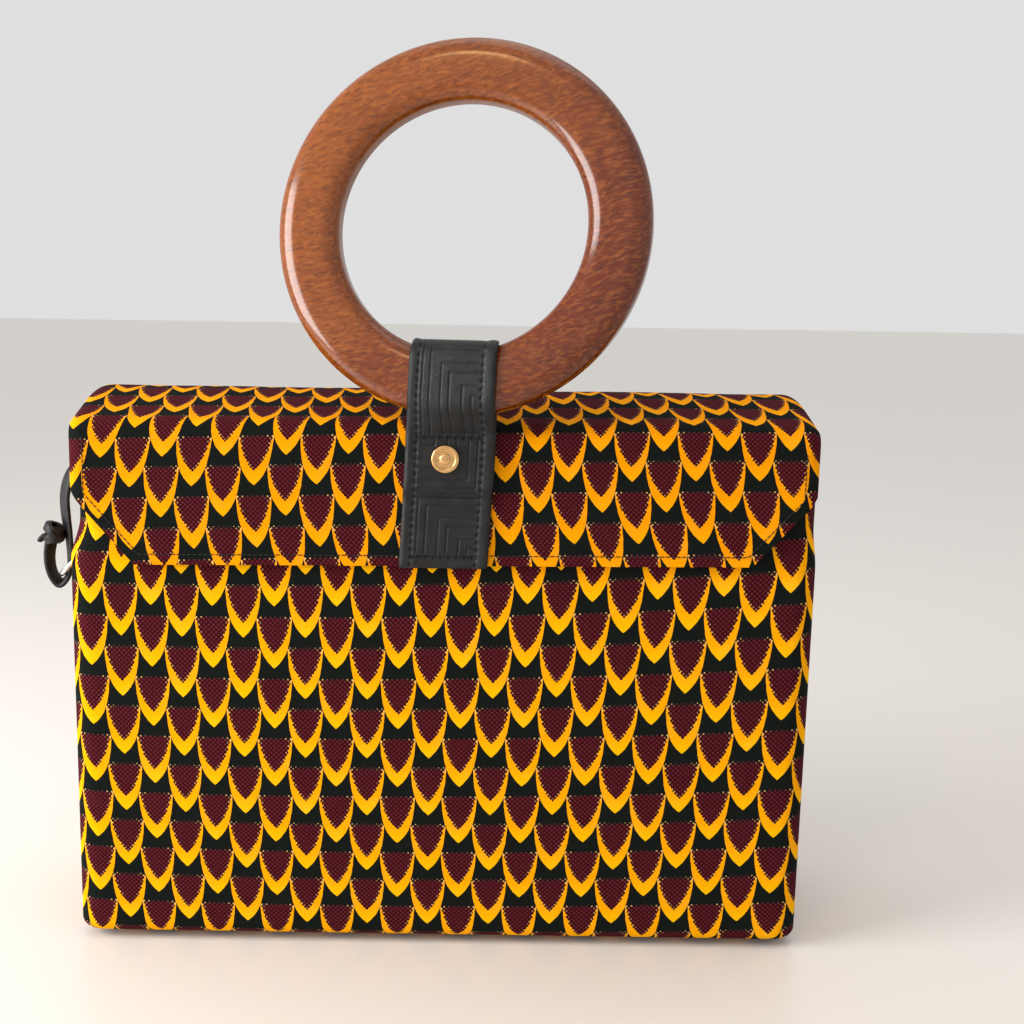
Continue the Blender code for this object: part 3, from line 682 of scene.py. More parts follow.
def stitch(name, lines, pitch, length, radius, thread):
    """Stitches along each line of points, as one piece."""
    bm = bmesh.new()
    for line in lines:
        verts = [bm.verts.new(point) for point in line]
        for first, second in zip(verts, verts[1:]):
            bm.edges.new((first, second))
    made = bpy.data.objects.new(name, mesh_from(name, bm))
    scene.collection.objects.link(made)
    sewing = made.modifiers.new("sewing", "NODES")
    sewing.node_group = seams
    values = {"pitch": pitch, "stitch_length": length, "thread_radius": radius, "thread": thread}
    for socket in seams.interface.items_tree:
        if socket.in_out == "INPUT" and socket.name in values:
            sewing[socket.identifier] = values[socket.name]
    settle(made)
    made.data.shade_smooth()
    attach(made, "bag")
    return made


HEM_INSET = 0.0042
HEM_PITCH = 0.0022
HEM_STITCH = 0.0021
HEM_THREAD = 0.00024
HEM_STEP = 0.003
HEM_LIFT = 0.00012
HEM_END = 0.001
FOLD_AT = FLAT_HALF - 0.0004
full_half = FLAT_HALF + LIP_LENGTH
chamfer_step = HEM_INSET * math.hypot(CHAMFER_WIDTH, CHAMFER_HEIGHT) / CHAMFER_HEIGHT
hem_corner = full_half - CHAMFER_WIDTH * (1 - HEM_INSET / CHAMFER_HEIGHT) - chamfer_step
fold_foot = CHAMFER_HEIGHT * (1 - (full_half - chamfer_step - FOLD_AT) / CHAMFER_WIDTH)
right_fold = [(hem_corner, HEM_INSET), (FOLD_AT, fold_foot), (FOLD_AT, drop - HEM_END)]
hem_corners = [(-x, rise) for x, rise in right_fold[::-1]] + right_fold
hem_line = []
for (x0, rise0), (x1, rise1) in zip(hem_corners, hem_corners[1:]):
    count = max(2, round(math.hypot(x1 - x0, rise1 - rise0) / HEM_STEP))
    for k in range(count):
        x = x0 + (x1 - x0) * k / count
        z = front_z - (drop - HEM_RISE * x) * (1 - (rise0 + (rise1 - rise0) * k / count) / drop)
        y = -FRONT_REACH - HEM_LIFT
        hem_line.append((CENTRE_X + x, CENTRE_Y + y - ripple(x, -FRONT_REACH, z, FLAP_RIPPLE), z))
stitch("flap_hem_stitches", [hem_line], HEM_PITCH, HEM_STITCH, HEM_THREAD, black_thread)

# The strap: two layers of black leather with a pressed fret and sewn, raised edges. It loops
# through the ring, is sewn together in a cross row above the stud, and runs down to the hem.
STRAP_WIDTH = 0.0356
STRAP_THICKNESS = 0.0020
STRAP_GAP = 0.0003
STRAP_JOIN_DROP = 0.0082
STRAP_JOIN_LENGTH = 0.0190
STRAP_CREASE = 0.004
CREASE_START = 0.0006
CREASE_END = 0.0064
CREASE_ROWS = 8
CREASE_STEEP = 1.2
RING_OUTER = 0.075
RING_INNER = 0.050
RING_THICKNESS = 0.016
RING_EDGE = 0.006
RING_LEAN = math.radians(12.1)
RING_TURN = math.radians(-12.1)
RING_FOOT = Vector((0.0025, -0.0503, 0.2262))
JOIN_HEIGHT = RING_FOOT.z - STRAP_JOIN_DROP
BACK_END = JOIN_HEIGHT - STRAP_JOIN_LENGTH
TAIL_DROP = 0.0006
TAIL_END = HEM_HEIGHT - TAIL_DROP
STRAP_OFF = STRAP_GAP + STRAP_THICKNESS / 2
STRAP_COLUMNS = 102
PULLED_IN = 0.90
PULLED_OUT = 1.05
INNER_EASE = 0.0010
FINE_STEP = 0.00036
COARSE_STEP = 0.0016
BAND_LEFT = -0.0134
BAND_RIGHT = 0.0128
CROSS_ROW = JOIN_HEIGHT - TAIL_END
# Where each block of the fret starts, up from the tail: the lowest block ends under the crease
FRET_BLOCK = 0.040
FRET_FOOT = BACK_END - 0.003 - TAIL_END
FRET_ROWS = (0.0, FRET_FOOT, CROSS_ROW, CROSS_ROW + FRET_BLOCK, CROSS_ROW + 2 * FRET_BLOCK, 1.0)
FRET_LINES = (0.0020, 0.0054, 0.0104, 0.0140, 0.0190, 0.0226)
FRET_HALF = 0.00050
FRET_DEPTH = 0.00046
FRET_MARGIN = 0.0006
FRET_FADE = 0.0008
GROOVE_DEPTH = 0.00030
PIT_DEPTH = 0.00035
PIT_HALF = 0.00062
ROW_DEPTH = 1.7
ROW_FADE = 0.001
GROOVE_HALF = 0.00085
SEWN_ROW = 0.0046
BAND_RISE = 0.00028
BAND_WIDTH = 0.0042
SIDE_ROUND = 0.0006
END_ROUND = 0.0005
ROUND_WIDTH = 0.0012
HIDDEN_SHARE = 0.12
UVS_PER_METRE = 10
WALL_SPARE = 0.0005
STITCH_PITCH = 0.0031
STITCH_LENGTH = 0.0022
THREAD_RADIUS = 0.00030


def ring_plane(back, up):
    """A place in the ring's own section, as distance behind the ring's foot and height."""
    return (back * math.cos(RING_LEAN) + up * math.sin(RING_LEAN),
            RING_FOOT.z - back * math.sin(RING_LEAN) + up * math.cos(RING_LEAN))


def strap_column(across):
    """The strap's middle line at a distance from its centre line, from its hidden end to its tail.

    It climbs over the flap's bend and behind the ring, goes over the inner rim and down to the tail.
    """
    foot_y = RING_FOOT.y + across * math.sin(RING_TURN)
    pulled = across * (PULLED_OUT if across > 0 else PULLED_IN)
    outer_rise = RING_OUTER - math.sqrt(RING_OUTER ** 2 - across ** 2)
    edge = max(STRAP_WIDTH / 2 * PULLED_IN, abs(pulled) - INNER_EASE)
    inner_rise = RING_INNER - math.sqrt(RING_INNER ** 2 - edge ** 2)
    flat = RING_THICKNESS / 2 - RING_EDGE
    wrap = RING_EDGE + STRAP_OFF
    low = RING_EDGE + outer_rise
    high = RING_OUTER - RING_INNER - RING_EDGE + inner_rise
    low_back = ring_plane(flat, low)
    low_front = ring_plane(-flat, low)
    bend = (BEND_RADIUS - FRONT_REACH - foot_y, front_z)
    back_layer = -FRONT_REACH - foot_y - STRAP_OFF
    front_layer = back_layer - STRAP_THICKNESS - STRAP_GAP
    reach = math.dist(low_back, bend)
    to_ring = math.atan2(low_back[1] - bend[1], low_back[0] - bend[0])
    leave = to_ring + math.acos(min((BEND_RADIUS + STRAP_OFF + wrap) / reach, 1.0))
    join = (front_layer, JOIN_HEIGHT + STRAP_CREASE / 2)
    span = math.dist(join, low_front)
    to_join = math.atan2(join[1] - low_front[1], join[0] - low_front[0]) + 2 * math.pi
    drop_off = to_join - math.acos(wrap / span)
    flap_part = [(back_layer, BACK_END), (back_layer, (BACK_END + front_z) / 2)]
    flap_part += arc(bend, BEND_RADIUS + STRAP_OFF, math.pi, leave, 10)
    ring_part = arc(low_back, wrap, leave - math.pi, -RING_LEAN, 8)
    ring_part += arc(ring_plane(flat, high), wrap, -RING_LEAN, math.pi / 2 - RING_LEAN, 12)
    ring_part += arc(ring_plane(-flat, high), wrap, math.pi / 2 - RING_LEAN, math.pi - RING_LEAN, 16)
    ring_part += arc(low_front, wrap, math.pi - RING_LEAN, drop_off, 8)
    crease_top = BACK_END + CREASE_START
    tail_top = BACK_END - CREASE_END
    tail = [join, (front_layer, (JOIN_HEIGHT + BACK_END) / 2)]
    for share in spread(0, 1, CREASE_ROWS):
        sunk = smooth(0.5 + CREASE_STEEP * (share - 0.5))
        tail.append((front_layer + (back_layer - front_layer) * sunk,
                     crease_top + (tail_top - crease_top) * share))
    tail += [(back_layer, height) for height in spread(tail_top, TAIL_END, 4)[1:]]

    def square(place):
        share = (place[1] - TAIL_END) / (front_z - TAIL_END)
        return Vector((across + RING_FOOT.x * min(share, 1.0), foot_y + place[0], place[1]))

    def turned_place(place):
        slide = max(place[0], 0.0) * math.tan(RING_TURN)
        side = RING_FOOT.x + (pulled + slide) * math.cos(RING_TURN) - place[0] * math.sin(RING_TURN)
        away = place[0] * math.cos(RING_TURN) + slide * math.sin(RING_TURN)
        return Vector((side, foot_y + away, place[1]))

    return [square(p) for p in flap_part] + [turned_place(p) for p in ring_part] + [square(p) for p in tail]


def groove(distance, half_width):
    """1 in the middle of a pressed line, 0 beside it, and rounded between."""
    return smooth(1 - abs(distance) / half_width)


def fret(across, climb):
    """How deep the leather is pressed at a place of the strap, as a share of the fret's depth.

    Nested corners fill each block, and each block turns the other way from the one below it.
    """
    row = sum(climb > level for level in FRET_ROWS[1:])
    v = climb - FRET_ROWS[row]
    block = FRET_ROWS[row + 1] - FRET_ROWS[row]
    u = BAND_RIGHT - across if row % 2 else across - BAND_LEFT
    distance = min(u, v) if row % 2 else min(u, block - v)
    pressed = max(groove(distance - line, FRET_HALF) for line in FRET_LINES)
    inside = min(across - BAND_LEFT, BAND_RIGHT - across, v, block - v)
    return pressed * smooth((inside - FRET_MARGIN) / FRET_FADE)


def sewn_groove(distance, along):
    """A stitched groove: shallow, with a pit where the thread goes in at each stitch's end."""
    gap = (along / STITCH_PITCH - math.floor(along / STITCH_PITCH) - 0.5) * STITCH_PITCH
    pit = groove(math.hypot(distance, STITCH_PITCH / 2 - abs(gap)), PIT_HALF)
    return GROOVE_DEPTH * groove(distance, GROOVE_HALF) + PIT_DEPTH * pit


strap_across = spread(-STRAP_WIDTH / 2, STRAP_WIDTH / 2, STRAP_COLUMNS)
columns = [strap_column(across) for across in strap_across]
middle = columns[STRAP_COLUMNS // 2]
front_start = max(range(len(middle)), key=lambda k: middle[k].z) - 8
splits = []
for k in range(len(middle) - 1):
    step = FINE_STEP if k >= front_start else COARSE_STEP
    splits.append(max(1, round((middle[k + 1] - middle[k]).length / step)))
fine_columns = []
for column in columns:
    fine = []
    for k, count in enumerate(splits):
        fine += [column[k].lerp(column[k + 1], j / count) for j in range(count)]
    fine.append(column[-1])
    fine_columns.append(fine)
middle = fine_columns[STRAP_COLUMNS // 2]
climb_up = [0.0]
for first, second in zip(middle[::-1], middle[-2::-1]):
    climb_up.append(climb_up[-1] + (first - second).length)
climb_up = climb_up[::-1]
bag_place = Vector((CENTRE_X, CENTRE_Y, 0))
row_count = len(middle)


def strap_normal(r, k):
    """Outward direction of the strap at row r and column k."""
    down = fine_columns[k][min(r + 2, row_count - 1)] - fine_columns[k][max(r - 2, 0)]
    over = fine_columns[min(k + 2, STRAP_COLUMNS)][r] - fine_columns[max(k - 2, 0)][r]
    return down.cross(over).normalized()


top_row = max(range(row_count), key=lambda r: middle[r].z)
top_climb = middle[top_row].z - TAIL_END
first_row = round(row_count * HIDDEN_SHARE)


def strap_climb(r, k):
    """How far up the strap a place is: its height on the front, and the length past the top behind."""
    if r >= top_row:
        return fine_columns[k][r].z - TAIL_END
    return top_climb + climb_up[r] - climb_up[top_row]


strap_uvs, strap_rows = [], []
for r in range(row_count):
    row, uv_row = [], []
    for k, across in enumerate(strap_across):
        climb = strap_climb(r, k)
        pressed = 0.0
        if r >= row_count * HIDDEN_SHARE:
            pressed = FRET_DEPTH * fret(across, climb)
            sewn = max(sewn_groove(across - BAND_LEFT, climb - SEWN_ROW),
                       sewn_groove(across - BAND_RIGHT, climb - SEWN_ROW))
            if BAND_LEFT < across < BAND_RIGHT:
                sewn = max(sewn, ROW_DEPTH * sewn_groove(climb - CROSS_ROW, across - BAND_LEFT),
                           ROW_DEPTH * sewn_groove(climb - SEWN_ROW, across - BAND_LEFT))
                pressed *= smooth((climb - SEWN_ROW - ROW_FADE) / ROW_FADE)
            pressed = max(pressed, sewn)
        edge = STRAP_WIDTH / 2 - abs(across)
        pressed -= BAND_RISE * math.sin(math.pi * min(edge / BAND_WIDTH, 1.0))
        pressed += SIDE_ROUND * (1 - smooth(edge / ROUND_WIDTH))
        pressed += END_ROUND * (1 - smooth(climb / ROUND_WIDTH))
        out = strap_normal(r, k) * (STRAP_THICKNESS / 2 - pressed)
        row.append(fine_columns[k][r] + out + bag_place)
        uv_row.append((across * UVS_PER_METRE, climb * UVS_PER_METRE))
    strap_rows.append(row)
    strap_uvs.append(uv_row)
strap_mesh = sheet_mesh("strap_leather", strap_rows[::-1], strap_uvs[::-1])

HOLE_FADE = (0.00025, 0.00060)
ROW_HOLE_FADE = (0.00060, 0.00115)
PUCKER_HIGHLIGHT_FADE = (0.0006, 0.0016)
DASH_START = 0.25
DASH_SHARE = 0.60
strap_black, spot, shader = finish("strap_black", {"Specular IOR Level": 0.34})
grain = spot.node("ShaderNodeTexVoronoi", {"feature": "DISTANCE_TO_EDGE"}, {"Vector": spot, "Scale": 1500.0})
worn = spot.noise(160.0, 5.0)
sewn_map = spot.node("ShaderNodeUVMap", {"uv_map": "print"})
over = sewn_map.part(0) * (1 / UVS_PER_METRE)
up = sewn_map.part(1) * (1 / UVS_PER_METRE)
side_gap = over.maths("MINIMUM", abs(over - BAND_LEFT), abs(over - BAND_RIGHT))
row_gap = up.maths("MINIMUM", abs(up - CROSS_ROW), abs(up - SEWN_ROW))
between = (over > BAND_LEFT) * (over < BAND_RIGHT)
side_dash = ((up - SEWN_ROW) * (1 / STITCH_PITCH) + DASH_START).fract() < DASH_SHARE
row_dash = ((over - BAND_LEFT) * (1 / STITCH_PITCH) + DASH_START).fract() < DASH_SHARE
holes = (1.0 - side_gap.ramp(*HOLE_FADE)) * side_dash
holes = holes.maths("MAXIMUM", holes, (1.0 - row_gap.ramp(*ROW_HOLE_FADE)) * row_dash * between)
# Painted highlight: beside the side seams, between the stitches, the black leather is made paler, standing
# for light on the puckers
pucker_highlight = (1.0 - side_gap.ramp(*PUCKER_HIGHLIGHT_FADE)) * (1.0 - side_dash)
leather = worn.ramp(0.35, 0.75).mix(paint(14, 15, 16), paint(28, 30, 32))
leather = (pucker_highlight * 0.5).mix(leather, paint(58, 62, 68))
connect(shader, "Base Color", holes.mix(leather, paint(4, 4, 5)))
connect(shader, "Roughness", 0.30 + worn * 0.22)
connect(shader, "Normal", (grain.ramp(0.0, 0.25) + worn * 0.5).bump(0.00012, 0.55))
strap_leather = piece("strap_leather", strap_mesh, (strap_black,), "bag", ("handle_strap",))
# The back of the leather stays a little clear of the ring where the pits press it in
thicken(strap_leather, STRAP_THICKNESS - WALL_SPARE, even=False)
settle(strap_leather)

# The seams lie in the pressed grooves: two down the sides, one across above the stud, one at the tail
THREAD_STEP = 3
last_row = min(range(row_count), key=lambda r: abs(climb_up[r] - SEWN_ROW))
cross_at = min(range(top_row, row_count), key=lambda r: abs(middle[r].z - JOIN_HEIGHT))
left_k, right_k = (round((band / STRAP_WIDTH + 0.5) * STRAP_COLUMNS) for band in (BAND_LEFT, BAND_RIGHT))
seam_rows = range(first_row, last_row + 1, THREAD_STEP)
seam_columns = range(left_k, right_k + 1, THREAD_STEP)
strap_lines = [[strap_rows[r][k] for r in seam_rows] for k in (left_k, right_k)]
strap_lines += [[strap_rows[r][k] for k in seam_columns] for r in (cross_at, last_row)]
stitch("strap_stitches", strap_lines, STITCH_PITCH, STITCH_LENGTH, THREAD_RADIUS, black_thread)

# The ring: one turned board of reddish hardwood with rounded edges, sanded and varnished. It
# turns freely in the strap.
RING_STEPS = 192
EDGE_STEPS = 14
RING_CROWN = 0.0088
RING_AXIS = Vector((math.sin(RING_TURN) * math.cos(RING_LEAN), -math.cos(RING_TURN) * math.cos(RING_LEAN),
                    math.sin(RING_LEAN)))
RING_ACROSS = Vector((math.cos(RING_TURN), math.sin(RING_TURN), 0))
RING_UP = RING_AXIS.cross(RING_ACROSS)
ring_centre = RING_FOOT + RING_UP * RING_OUTER + bag_place
half = RING_THICKNESS / 2 - RING_EDGE


def sanded_corner(rim, height, start, end):
    """A quarter of the board's section: the edge's rounding runs on softly into the flat face."""
    inward = -RING_CROWN if rim > (RING_OUTER + RING_INNER) / 2 else RING_CROWN
    return [(rim + inward + RING_CROWN * x, height + RING_EDGE * y)
            for x, y in arc((0, 0), 1.0, start, end, EDGE_STEPS)]


section = sanded_corner(RING_OUTER, half, math.pi / 2, 0)
section += sanded_corner(RING_OUTER, -half, 0, -math.pi / 2)
section += sanded_corner(RING_INNER, -half, -math.pi / 2, -math.pi)
section += sanded_corner(RING_INNER, half, math.pi, math.pi / 2)
bm = bmesh.new()
board_layer = bm.verts.layers.float_vector.new("board")
grid = []
for turn in spread(0, 2 * math.pi, RING_STEPS)[:-1]:
    ring_row = []
    for radius, height in section:
        place = Vector((radius * math.cos(turn), radius * math.sin(turn), height))
        vert = bm.verts.new(ring_centre + RING_ACROSS * place.x + RING_UP * place.y + RING_AXIS * place.z)
        vert[board_layer] = place
        ring_row.append(vert)
    grid.append(ring_row)
for k in range(RING_STEPS):
    n = (k + 1) % RING_STEPS
    for j in range(len(section)):
        i = (j + 1) % len(section)
        bm.faces.new((grid[k][j], grid[k][i], grid[n][i], grid[n][j]))
bmesh.ops.recalc_face_normals(bm, faces=bm.faces)
ring_mesh = mesh_from("ring_wood", bm)

WOOD_RED = paint(92, 27, 0)
WOOD_GOLD = paint(134, 68, 16)
WOOD_DARK = paint(66, 24, 5)
WOOD_PORE = paint(52, 18, 5)
WOOD_FLECK = paint(168, 98, 36)
GRAIN_TILT = math.radians(-18)
GRAIN_DRIFT = 0.012
DRIFT_SCALE = 26.0
# How pale the wood is: at the middle, by the bands of its grain, and, as painted light and shade, paler
# towards the top and darker towards the right
PALE_BASE, PAINTED_LIGHT_UP, PAINTED_SHADE_RIGHT, PALE_BANDS = 0.30, 0.16, 0.28, 0.50
PALE_FADE = (0.20, 0.86)
varnish = {"Coat Weight": 0.92, "Coat Roughness": 0.15, "Specular IOR Level": 0.05}
varnished_wood, board, shader = finish("varnished_wood", varnish,
                                       ("ShaderNodeAttribute", {"attribute_name": "board"}, 1))
over = board.part(0) * (1 / RING_OUTER)
up = board.part(1) * (1 / RING_OUTER)
drift = board.drift(DRIFT_SCALE, 2.0).vector("SCALE", {"Scale": GRAIN_DRIFT})
bent = board.vector("ADD", {1: drift})
spot = bent.node("ShaderNodeMapping", None, {"Vector": bent, "Rotation": (0, 0, GRAIN_TILT)})
bands = spot.noise(22.0, 3.0, (0.7, 2.4, 1.6))
streaks = spot.noise(150.0, 5.0, (0.8, 2.8, 2.0))
pores = spot.noise(520.0, 2.0, (0.55, 2.0, 2.0))
fleck = spot.noise(420.0, 3.0, (0.60, 2.0, 2.0))
# Painted light and shade: the board's colour is paler towards its top and darker towards its right, added to
# the real bands of the grain
bands_and_painted_light = (PALE_BASE + up * PAINTED_LIGHT_UP - over * PAINTED_SHADE_RIGHT + bands * PALE_BANDS).ramp(*PALE_FADE)
wood = bands_and_painted_light.mix(WOOD_RED, WOOD_GOLD)
WOOD_MARKS = (
    # what they follow, where they start and are full, strength, colour
    (streaks, 0.40, 0.72, 0.34, WOOD_DARK),
    (fleck, 0.42, 0.72, 0.38, WOOD_FLECK),
    (pores, 0.50, 0.68, 0.42, WOOD_PORE),
)
for marks, low, high, strength, colour in WOOD_MARKS:
    wood = (marks.ramp(low, high) * strength).mix(wood, colour)
connect(shader, "Base Color", wood)
connect(shader, "Roughness", 0.34 + streaks * 0.16)
connect(shader, "Normal", (1.0 - pores.ramp(0.56, 0.75)).bump(0.00004, 0.25))
piece("ring_wood", ring_mesh, (varnished_wood,), "ring", ("ring_handle",))

# The stud and the feet: turned brass caps with a pale gold finish. The stud has a raised rim round a
# plain dome. The feet are domed and set on the box floor.
STUD_STEPS = 64
STUD_RADIUS = 0.00555
STUD_HEIGHT = 0.0022
FOOT_RADIUS = 0.005
FOOT_HEIGHT = 0.003
FOOT_STEPS = 48


def turned(name, profile, place, steps):
    """A cap turned from a half profile that starts and ends on the axis. place turns and moves it."""
    bm = bmesh.new()
    loops = []
    turns = spread(0, 2 * math.pi, steps)[:-1]
    for radius, height in profile[1:-1]:
        loops.append([bm.verts.new((radius * math.cos(a), radius * math.sin(a), height)) for a in turns])
    ends = [bm.verts.new((0, 0, profile[0][1])), bm.verts.new((0, 0, profile[-1][1]))]
    for k in range(steps):
        n = (k + 1) % steps
        bm.faces.new((ends[0], loops[0][k], loops[0][n]))
        for upper, lower in zip(loops, loops[1:]):
            bm.faces.new((upper[k], lower[k], lower[n], upper[n]))
        bm.faces.new((ends[1], loops[-1][n], loops[-1][k]))
    bmesh.ops.recalc_face_normals(bm, faces=bm.faces)
    bmesh.ops.transform(bm, matrix=place, verts=bm.verts)
    return mesh_from(name, bm)


pale_gold, spot, shader = finish("pale_gold", {"Metallic": 1.0})
tarnish = spot.noise(700.0, 4.0)
connect(shader, "Base Color", tarnish.mix(paint(198, 148, 90), paint(238, 198, 138)))
connect(shader, "Roughness", 0.20 + tarnish * 0.16)
connect(shader, "Normal", tarnish.bump(0.00004, 0.4))
# Shares of the radius and height: the dome, the hollow round it, the rim, and the plain side
stud_shares = [(0.40 * math.sin(a), 0.56 + 0.34 * math.cos(a)) for a in spread(0, math.pi / 2, 8)]
stud_shares += [(0.55 - 0.15 * math.cos(a), 0.56 - 0.06 * math.sin(a)) for a in spread(0, math.pi, 8)[1:]]
stud_shares += [(0.84 - 0.14 * math.cos(a), 0.56 + 0.19 * math.sin(a)) for a in spread(0, math.pi, 10)[1:-1]]
stud_shares += [(0.99, 0.50), (1, 0.36), (1, 0), (0, 0)]
stud_profile = [(STUD_RADIUS * radius, STUD_HEIGHT * height) for radius, height in stud_shares]
stud_low, stud_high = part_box("stud")
stud_place = Vector(((stud_low[0] + stud_high[0]) / 2, stud_high[1], (stud_low[2] + stud_high[2]) / 2))
stud_turn = Matrix.Translation(stud_place) @ Matrix.Rotation(math.pi / 2, 4, "X")
stud_mesh = turned("stud_cap", stud_profile, stud_turn, STUD_STEPS)
piece("stud_cap", stud_mesh, (pale_gold,), "bag", ("stud",))

foot_shares = [(0, 1), (1, 1), (1, 0.62)]
foot_shares += [(0.45 + 0.55 * math.cos(a), 0.6 * (1 - math.sin(a))) for a in spread(0, math.pi / 2, 8)]
foot_profile = [(FOOT_RADIUS * radius, FOOT_HEIGHT * height) for radius, height in foot_shares + [(0, 0)]]
for node in ("foot_front_left", "foot_front_right", "foot_back_left", "foot_back_right"):
    low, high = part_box(node)
    foot_place = Matrix.Translation(((low[0] + high[0]) / 2, (low[1] + high[1]) / 2, low[2]))
    foot_mesh = turned(node + "_cap", foot_profile, foot_place, FOOT_STEPS)
    piece(node + "_cap", foot_mesh, (pale_gold,), "bag", (node,))

# The left side: a folded leather tab holds a slanting D-ring of silver wire, and a narrow leather
# tie that comes down from under the flap is knotted through the ring.
D_WIRE = 0.0010
D_HALF = 0.008
D_DEPTH = 0.016
D_SLANT = math.radians(46)
D_BAR_HEIGHT = 0.1605
D_STANDOFF = 0.0030
TAB_WIDTH = 0.012
TAB_THICKNESS = 0.0012
TAB_LENGTH = 0.020
SEAT_GAP = 0.0003
TIE_WIDTH = 0.007
TIE_THICKNESS = 0.0020
TIE_TURN = math.radians(42)
TIE_TOP = D_BAR_HEIGHT + 0.0515
TIE_FOOT = D_BAR_HEIGHT - 0.0162
TIE_BULGE = 0.0190
KNOT_OUT = 0.0168
KNOT_RISE = 0.0068
TAB_SEAM = 0.36
TAB_PITCH = 0.0022
TAB_STITCH = 0.0016
TAB_THREAD = 0.0002
TAB_LIFT = 0.0001
WRAP_THICKNESS = 0.0016
WRAP_STEPS = 40
TIP_WIDTH = 0.0034
TIP_THICKNESS = 0.0018
BACKWARD = Vector((0, 1, 0))
UPWARD = Vector((0, 0, 1))


def sweep(name, places, section, closed=False):
    """Draws a section along places, each a point with its side and outward directions."""
    bm = bmesh.new()
    rings = [[bm.verts.new(point + side * a + out * b) for a, b in section] for point, side, out in places]
    count = len(section)
    for r in range(len(rings) if closed else len(rings) - 1):
        following = rings[(r + 1) % len(rings)]
        for k in range(count):
            n = (k + 1) % count
            bm.faces.new((rings[r][k], rings[r][n], following[n], following[k]))
    if not closed:
        bm.faces.new(rings[0])
        bm.faces.new(rings[-1])
    bmesh.ops.recalc_face_normals(bm, faces=bm.faces)
    return mesh_from(name, bm)


def strip(width, thickness, steps=6):
    """The section of a flat strap with rounded edges."""
    radius = thickness / 2
    ends = arc((width / 2 - radius, 0), radius, -math.pi / 2, math.pi / 2, steps)
    ends += arc((radius - width / 2, 0), radius, math.pi / 2, 3 * math.pi / 2, steps)
    return ends


def heading(points, k):
    """The direction of a line of points at number k."""
    return (points[min(k + 1, len(points) - 1)] - points[max(k - 1, 0)]).normalized()


def strip_places(route):
    """Places along a route beside the box, given as x, z and the turn of the strip's flat side."""
    places = []
    for k, point in enumerate(route):
        ahead = heading(route, k)
        normal = Vector((ahead.y, 0, -ahead.x)).normalized()
        side = BACKWARD * math.cos(point.z) + normal * math.sin(point.z)
        out = normal * math.cos(point.z) - BACKWARD * math.sin(point.z)
        places.append((Vector((point.x, 0, point.y)) + bag_place, side, out))
    return places


def curve_through(points, fine):
    """A smooth line through points, with fine steps between each pair."""
    line = []
    for k in range(len(points) - 1):
        p0, p1, p2 = points[max(k - 1, 0)], points[k], points[k + 1]
        p3 = points[min(k + 2, len(points) - 1)]
        for j in range(fine):
            t = j / fine
            line.append(0.5 * (2 * p1 + (p2 - p0) * t + (2 * p0 - 5 * p1 + 4 * p2 - p3) * t ** 2
                               + (3 * p1 - p0 - 3 * p2 + p3) * t ** 3))
    line.append(points[-1])
    return line


def d_point(along, out):
    """A place on the D-ring: along its bar, and out from the bar in its slanting plane."""
    return Vector((-HALF_WIDTH - D_STANDOFF - out * math.cos(D_SLANT), along,
                   D_BAR_HEIGHT - out * math.sin(D_SLANT)))


silver, spot, shader = finish("silver_wire", {"Metallic": 1.0})
rubbed = spot.noise(900.0, 3.0)
connect(shader, "Base Color", rubbed.mix(paint(206, 208, 212), paint(240, 240, 242)))
connect(shader, "Roughness", 0.14 + rubbed * 0.14)
leg = D_DEPTH - D_HALF
corner = D_HALF * 0.25
bow_plan = [(along, 0) for along in spread(corner - D_HALF, D_HALF - corner, 12)]
bow_plan += arc((D_HALF - corner, corner), corner, -math.pi / 2, 0, 4)[1:]
bow_plan += [(D_HALF, out) for out in spread(corner, leg, 4)[1:-1]]
bow_plan += arc((0, leg), D_HALF, 0, math.pi, 24)
bow_plan += [(-D_HALF, out) for out in spread(leg, corner, 4)[1:-1]]
bow_plan += arc((corner - D_HALF, corner), corner, math.pi, 3 * math.pi / 2, 4)[:-1]
bow = [d_point(along, out) for along, out in bow_plan]
plane_out = (d_point(0, 1) - d_point(0, 0)).cross(BACKWARD).normalized()
places = []
for k, point in enumerate(bow):
    ahead = (bow[(k + 1) % len(bow)] - bow[k - 1]).normalized()
    places.append((point + bag_place, ahead.cross(plane_out).normalized(), plane_out))
wire = arc((0, 0), D_WIRE, 0, 2 * math.pi, 14)[:-1]
piece("side_d_ring_wire", sweep("side_d_ring_wire", places, wire, closed=True), (silver,), "bag",
      ("side_d_ring",))

tie_black, spot, shader = finish("tie_black", {"Specular IOR Level": 0.32})
pebble = spot.node("ShaderNodeTexVoronoi", {"feature": "DISTANCE_TO_EDGE"}, {"Vector": spot, "Scale": 1300.0})
rub = spot.noise(240.0, 4.0)
connect(shader, "Base Color", rub.ramp(0.35, 0.80).mix(paint(15, 15, 17), paint(40, 41, 44)))
connect(shader, "Roughness", 0.34 + rub * 0.24)
connect(shader, "Normal", (pebble.ramp(0.0, 0.3) + rub * 0.6).bump(0.00010, 0.5))


def leather_strip(name, places, section, nodes=(), closed=False):
    """A piece of the tie's leather, fixed to the bag."""
    piece(name, sweep(name, places, section, closed), (tie_black,), "bag", nodes)


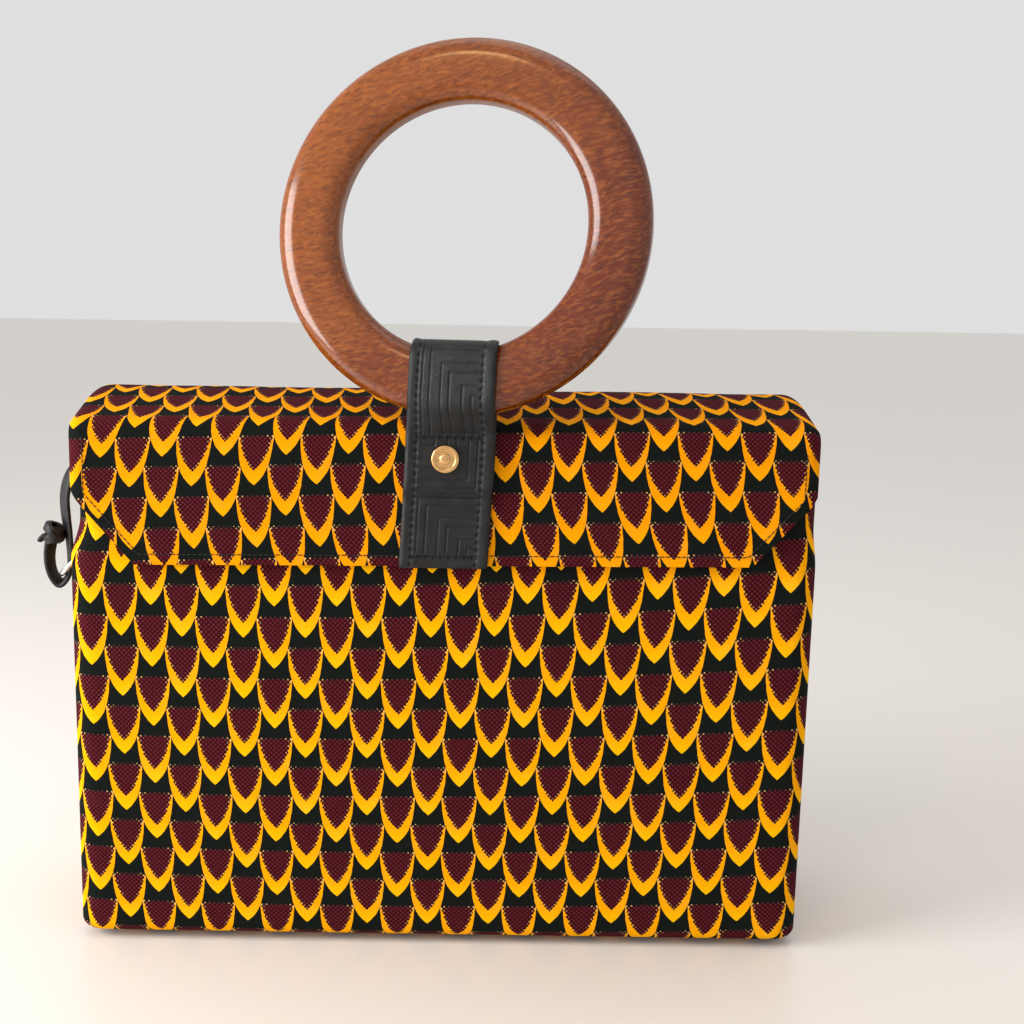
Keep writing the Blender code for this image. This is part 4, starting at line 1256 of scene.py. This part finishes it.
off = SEAT_GAP + TAB_THICKNESS / 2
bar = d_point(0, 0)
loop = D_WIRE + off
tab_top = D_BAR_HEIGHT + TAB_LENGTH
tab_low = D_BAR_HEIGHT + 3 * loop
inner_x = -HALF_WIDTH - off
outer_x = inner_x - TAB_THICKNESS - SEAT_GAP
tab_path = [(inner_x, z) for z in spread(tab_top, D_BAR_HEIGHT + loop, 12)]
tab_path += arc((bar.x, bar.z), loop, 0, -math.pi, 16)
tab_path += [(outer_x, z) for z in spread(tab_low, tab_top, 12)]
tab_places = strip_places([Vector((x, z, 0)) for x, z in tab_path])
leather_strip("side_tab_leather", tab_places, strip(TAB_WIDTH, TAB_THICKNESS), ("side_tab",))
for end, edge in (("front", -TAB_SEAM), ("back", TAB_SEAM)):
    line = [(CENTRE_X + outer_x - TAB_THICKNESS / 2 - TAB_LIFT, CENTRE_Y + edge * TAB_WIDTH, z)
            for z in spread(tab_low, tab_top - 0.2 * loop, 4)]
    stitch("side_tab_stitches_" + end, [line], TAB_PITCH, TAB_STITCH, TAB_THREAD, black_thread)

TIE_ROUTE = (
    # out from the box wall as a share of the bulge, down as a share of the height, turn of the flat
    (-0.10, 0.00, 0.0), (0.02, 0.08, 0.0), (0.30, 0.19, 0.5), (0.52, 0.30, 1.0), (0.63, 0.42, 1.0),
    (0.62, 0.55, 1.0), (0.57, 0.68, 0.8), (0.55, 0.82, 0.6), (0.60, 0.935, 0.4), (0.79, 0.995, 0.35),
    (0.97, 0.93, 0.4), (1.03, 0.83, 0.5), (0.98, 0.72, 0.7), (0.88, 0.63, 0.7),
)
route = [Vector((-HALF_WIDTH - TIE_BULGE * out, TIE_TOP - (TIE_TOP - TIE_FOOT) * down, turn * TIE_TURN))
         for out, down, turn in TIE_ROUTE]
tie_places = strip_places(curve_through(route, 10))
leather_strip("side_tie_strap", tie_places, strip(TIE_WIDTH, TIE_THICKNESS), ("side_tie",))

knot_centre = Vector((-HALF_WIDTH - KNOT_OUT, 0, D_BAR_HEIGHT + KNOT_RISE)) + bag_place
WRAPS = (
    # lift, half size out, half size across, tilt, width
    (0.0016, 0.0040, 0.0046, 24, 0.0040),
    (-0.0018, 0.0041, 0.0047, -20, 0.0042),
    (0.0002, 0.0046, 0.0050, 58, 0.0030),
)
for number, (lift, half_out, half_across, tilt, width) in enumerate(WRAPS):
    lean = Matrix.Rotation(math.radians(tilt), 3, "Y")
    places = []
    for turn in spread(0, 2 * math.pi, WRAP_STEPS)[:-1]:
        out = Vector((math.cos(turn), math.sin(turn), 0))
        spoke = Vector((out.x * half_out, out.y * half_across, 0))
        places.append((knot_centre + lean @ spoke + UPWARD * lift, lean @ UPWARD, lean @ out))
    leather_strip("side_tie_wrap_" + str(number + 1), places, strip(width, WRAP_THICKNESS), closed=True)
TIP_ROUTE = (
    # from the middle of the knot
    (0.0005, 0.0, 0.0005), (-0.0030, -0.0012, -0.0006),
    (-0.0052, -0.0016, -0.0016), (-0.0062, -0.0014, -0.0036),
)
tip_route = curve_through([knot_centre + Vector(step) for step in TIP_ROUTE], 8)
places = []
for k, point in enumerate(tip_route):
    ahead = heading(tip_route, k)
    side = ahead.cross(UPWARD).normalized()
    places.append((point, side, side.cross(ahead)))
leather_strip("side_tie_tip", places, strip(TIP_WIDTH, TIP_THICKNESS))
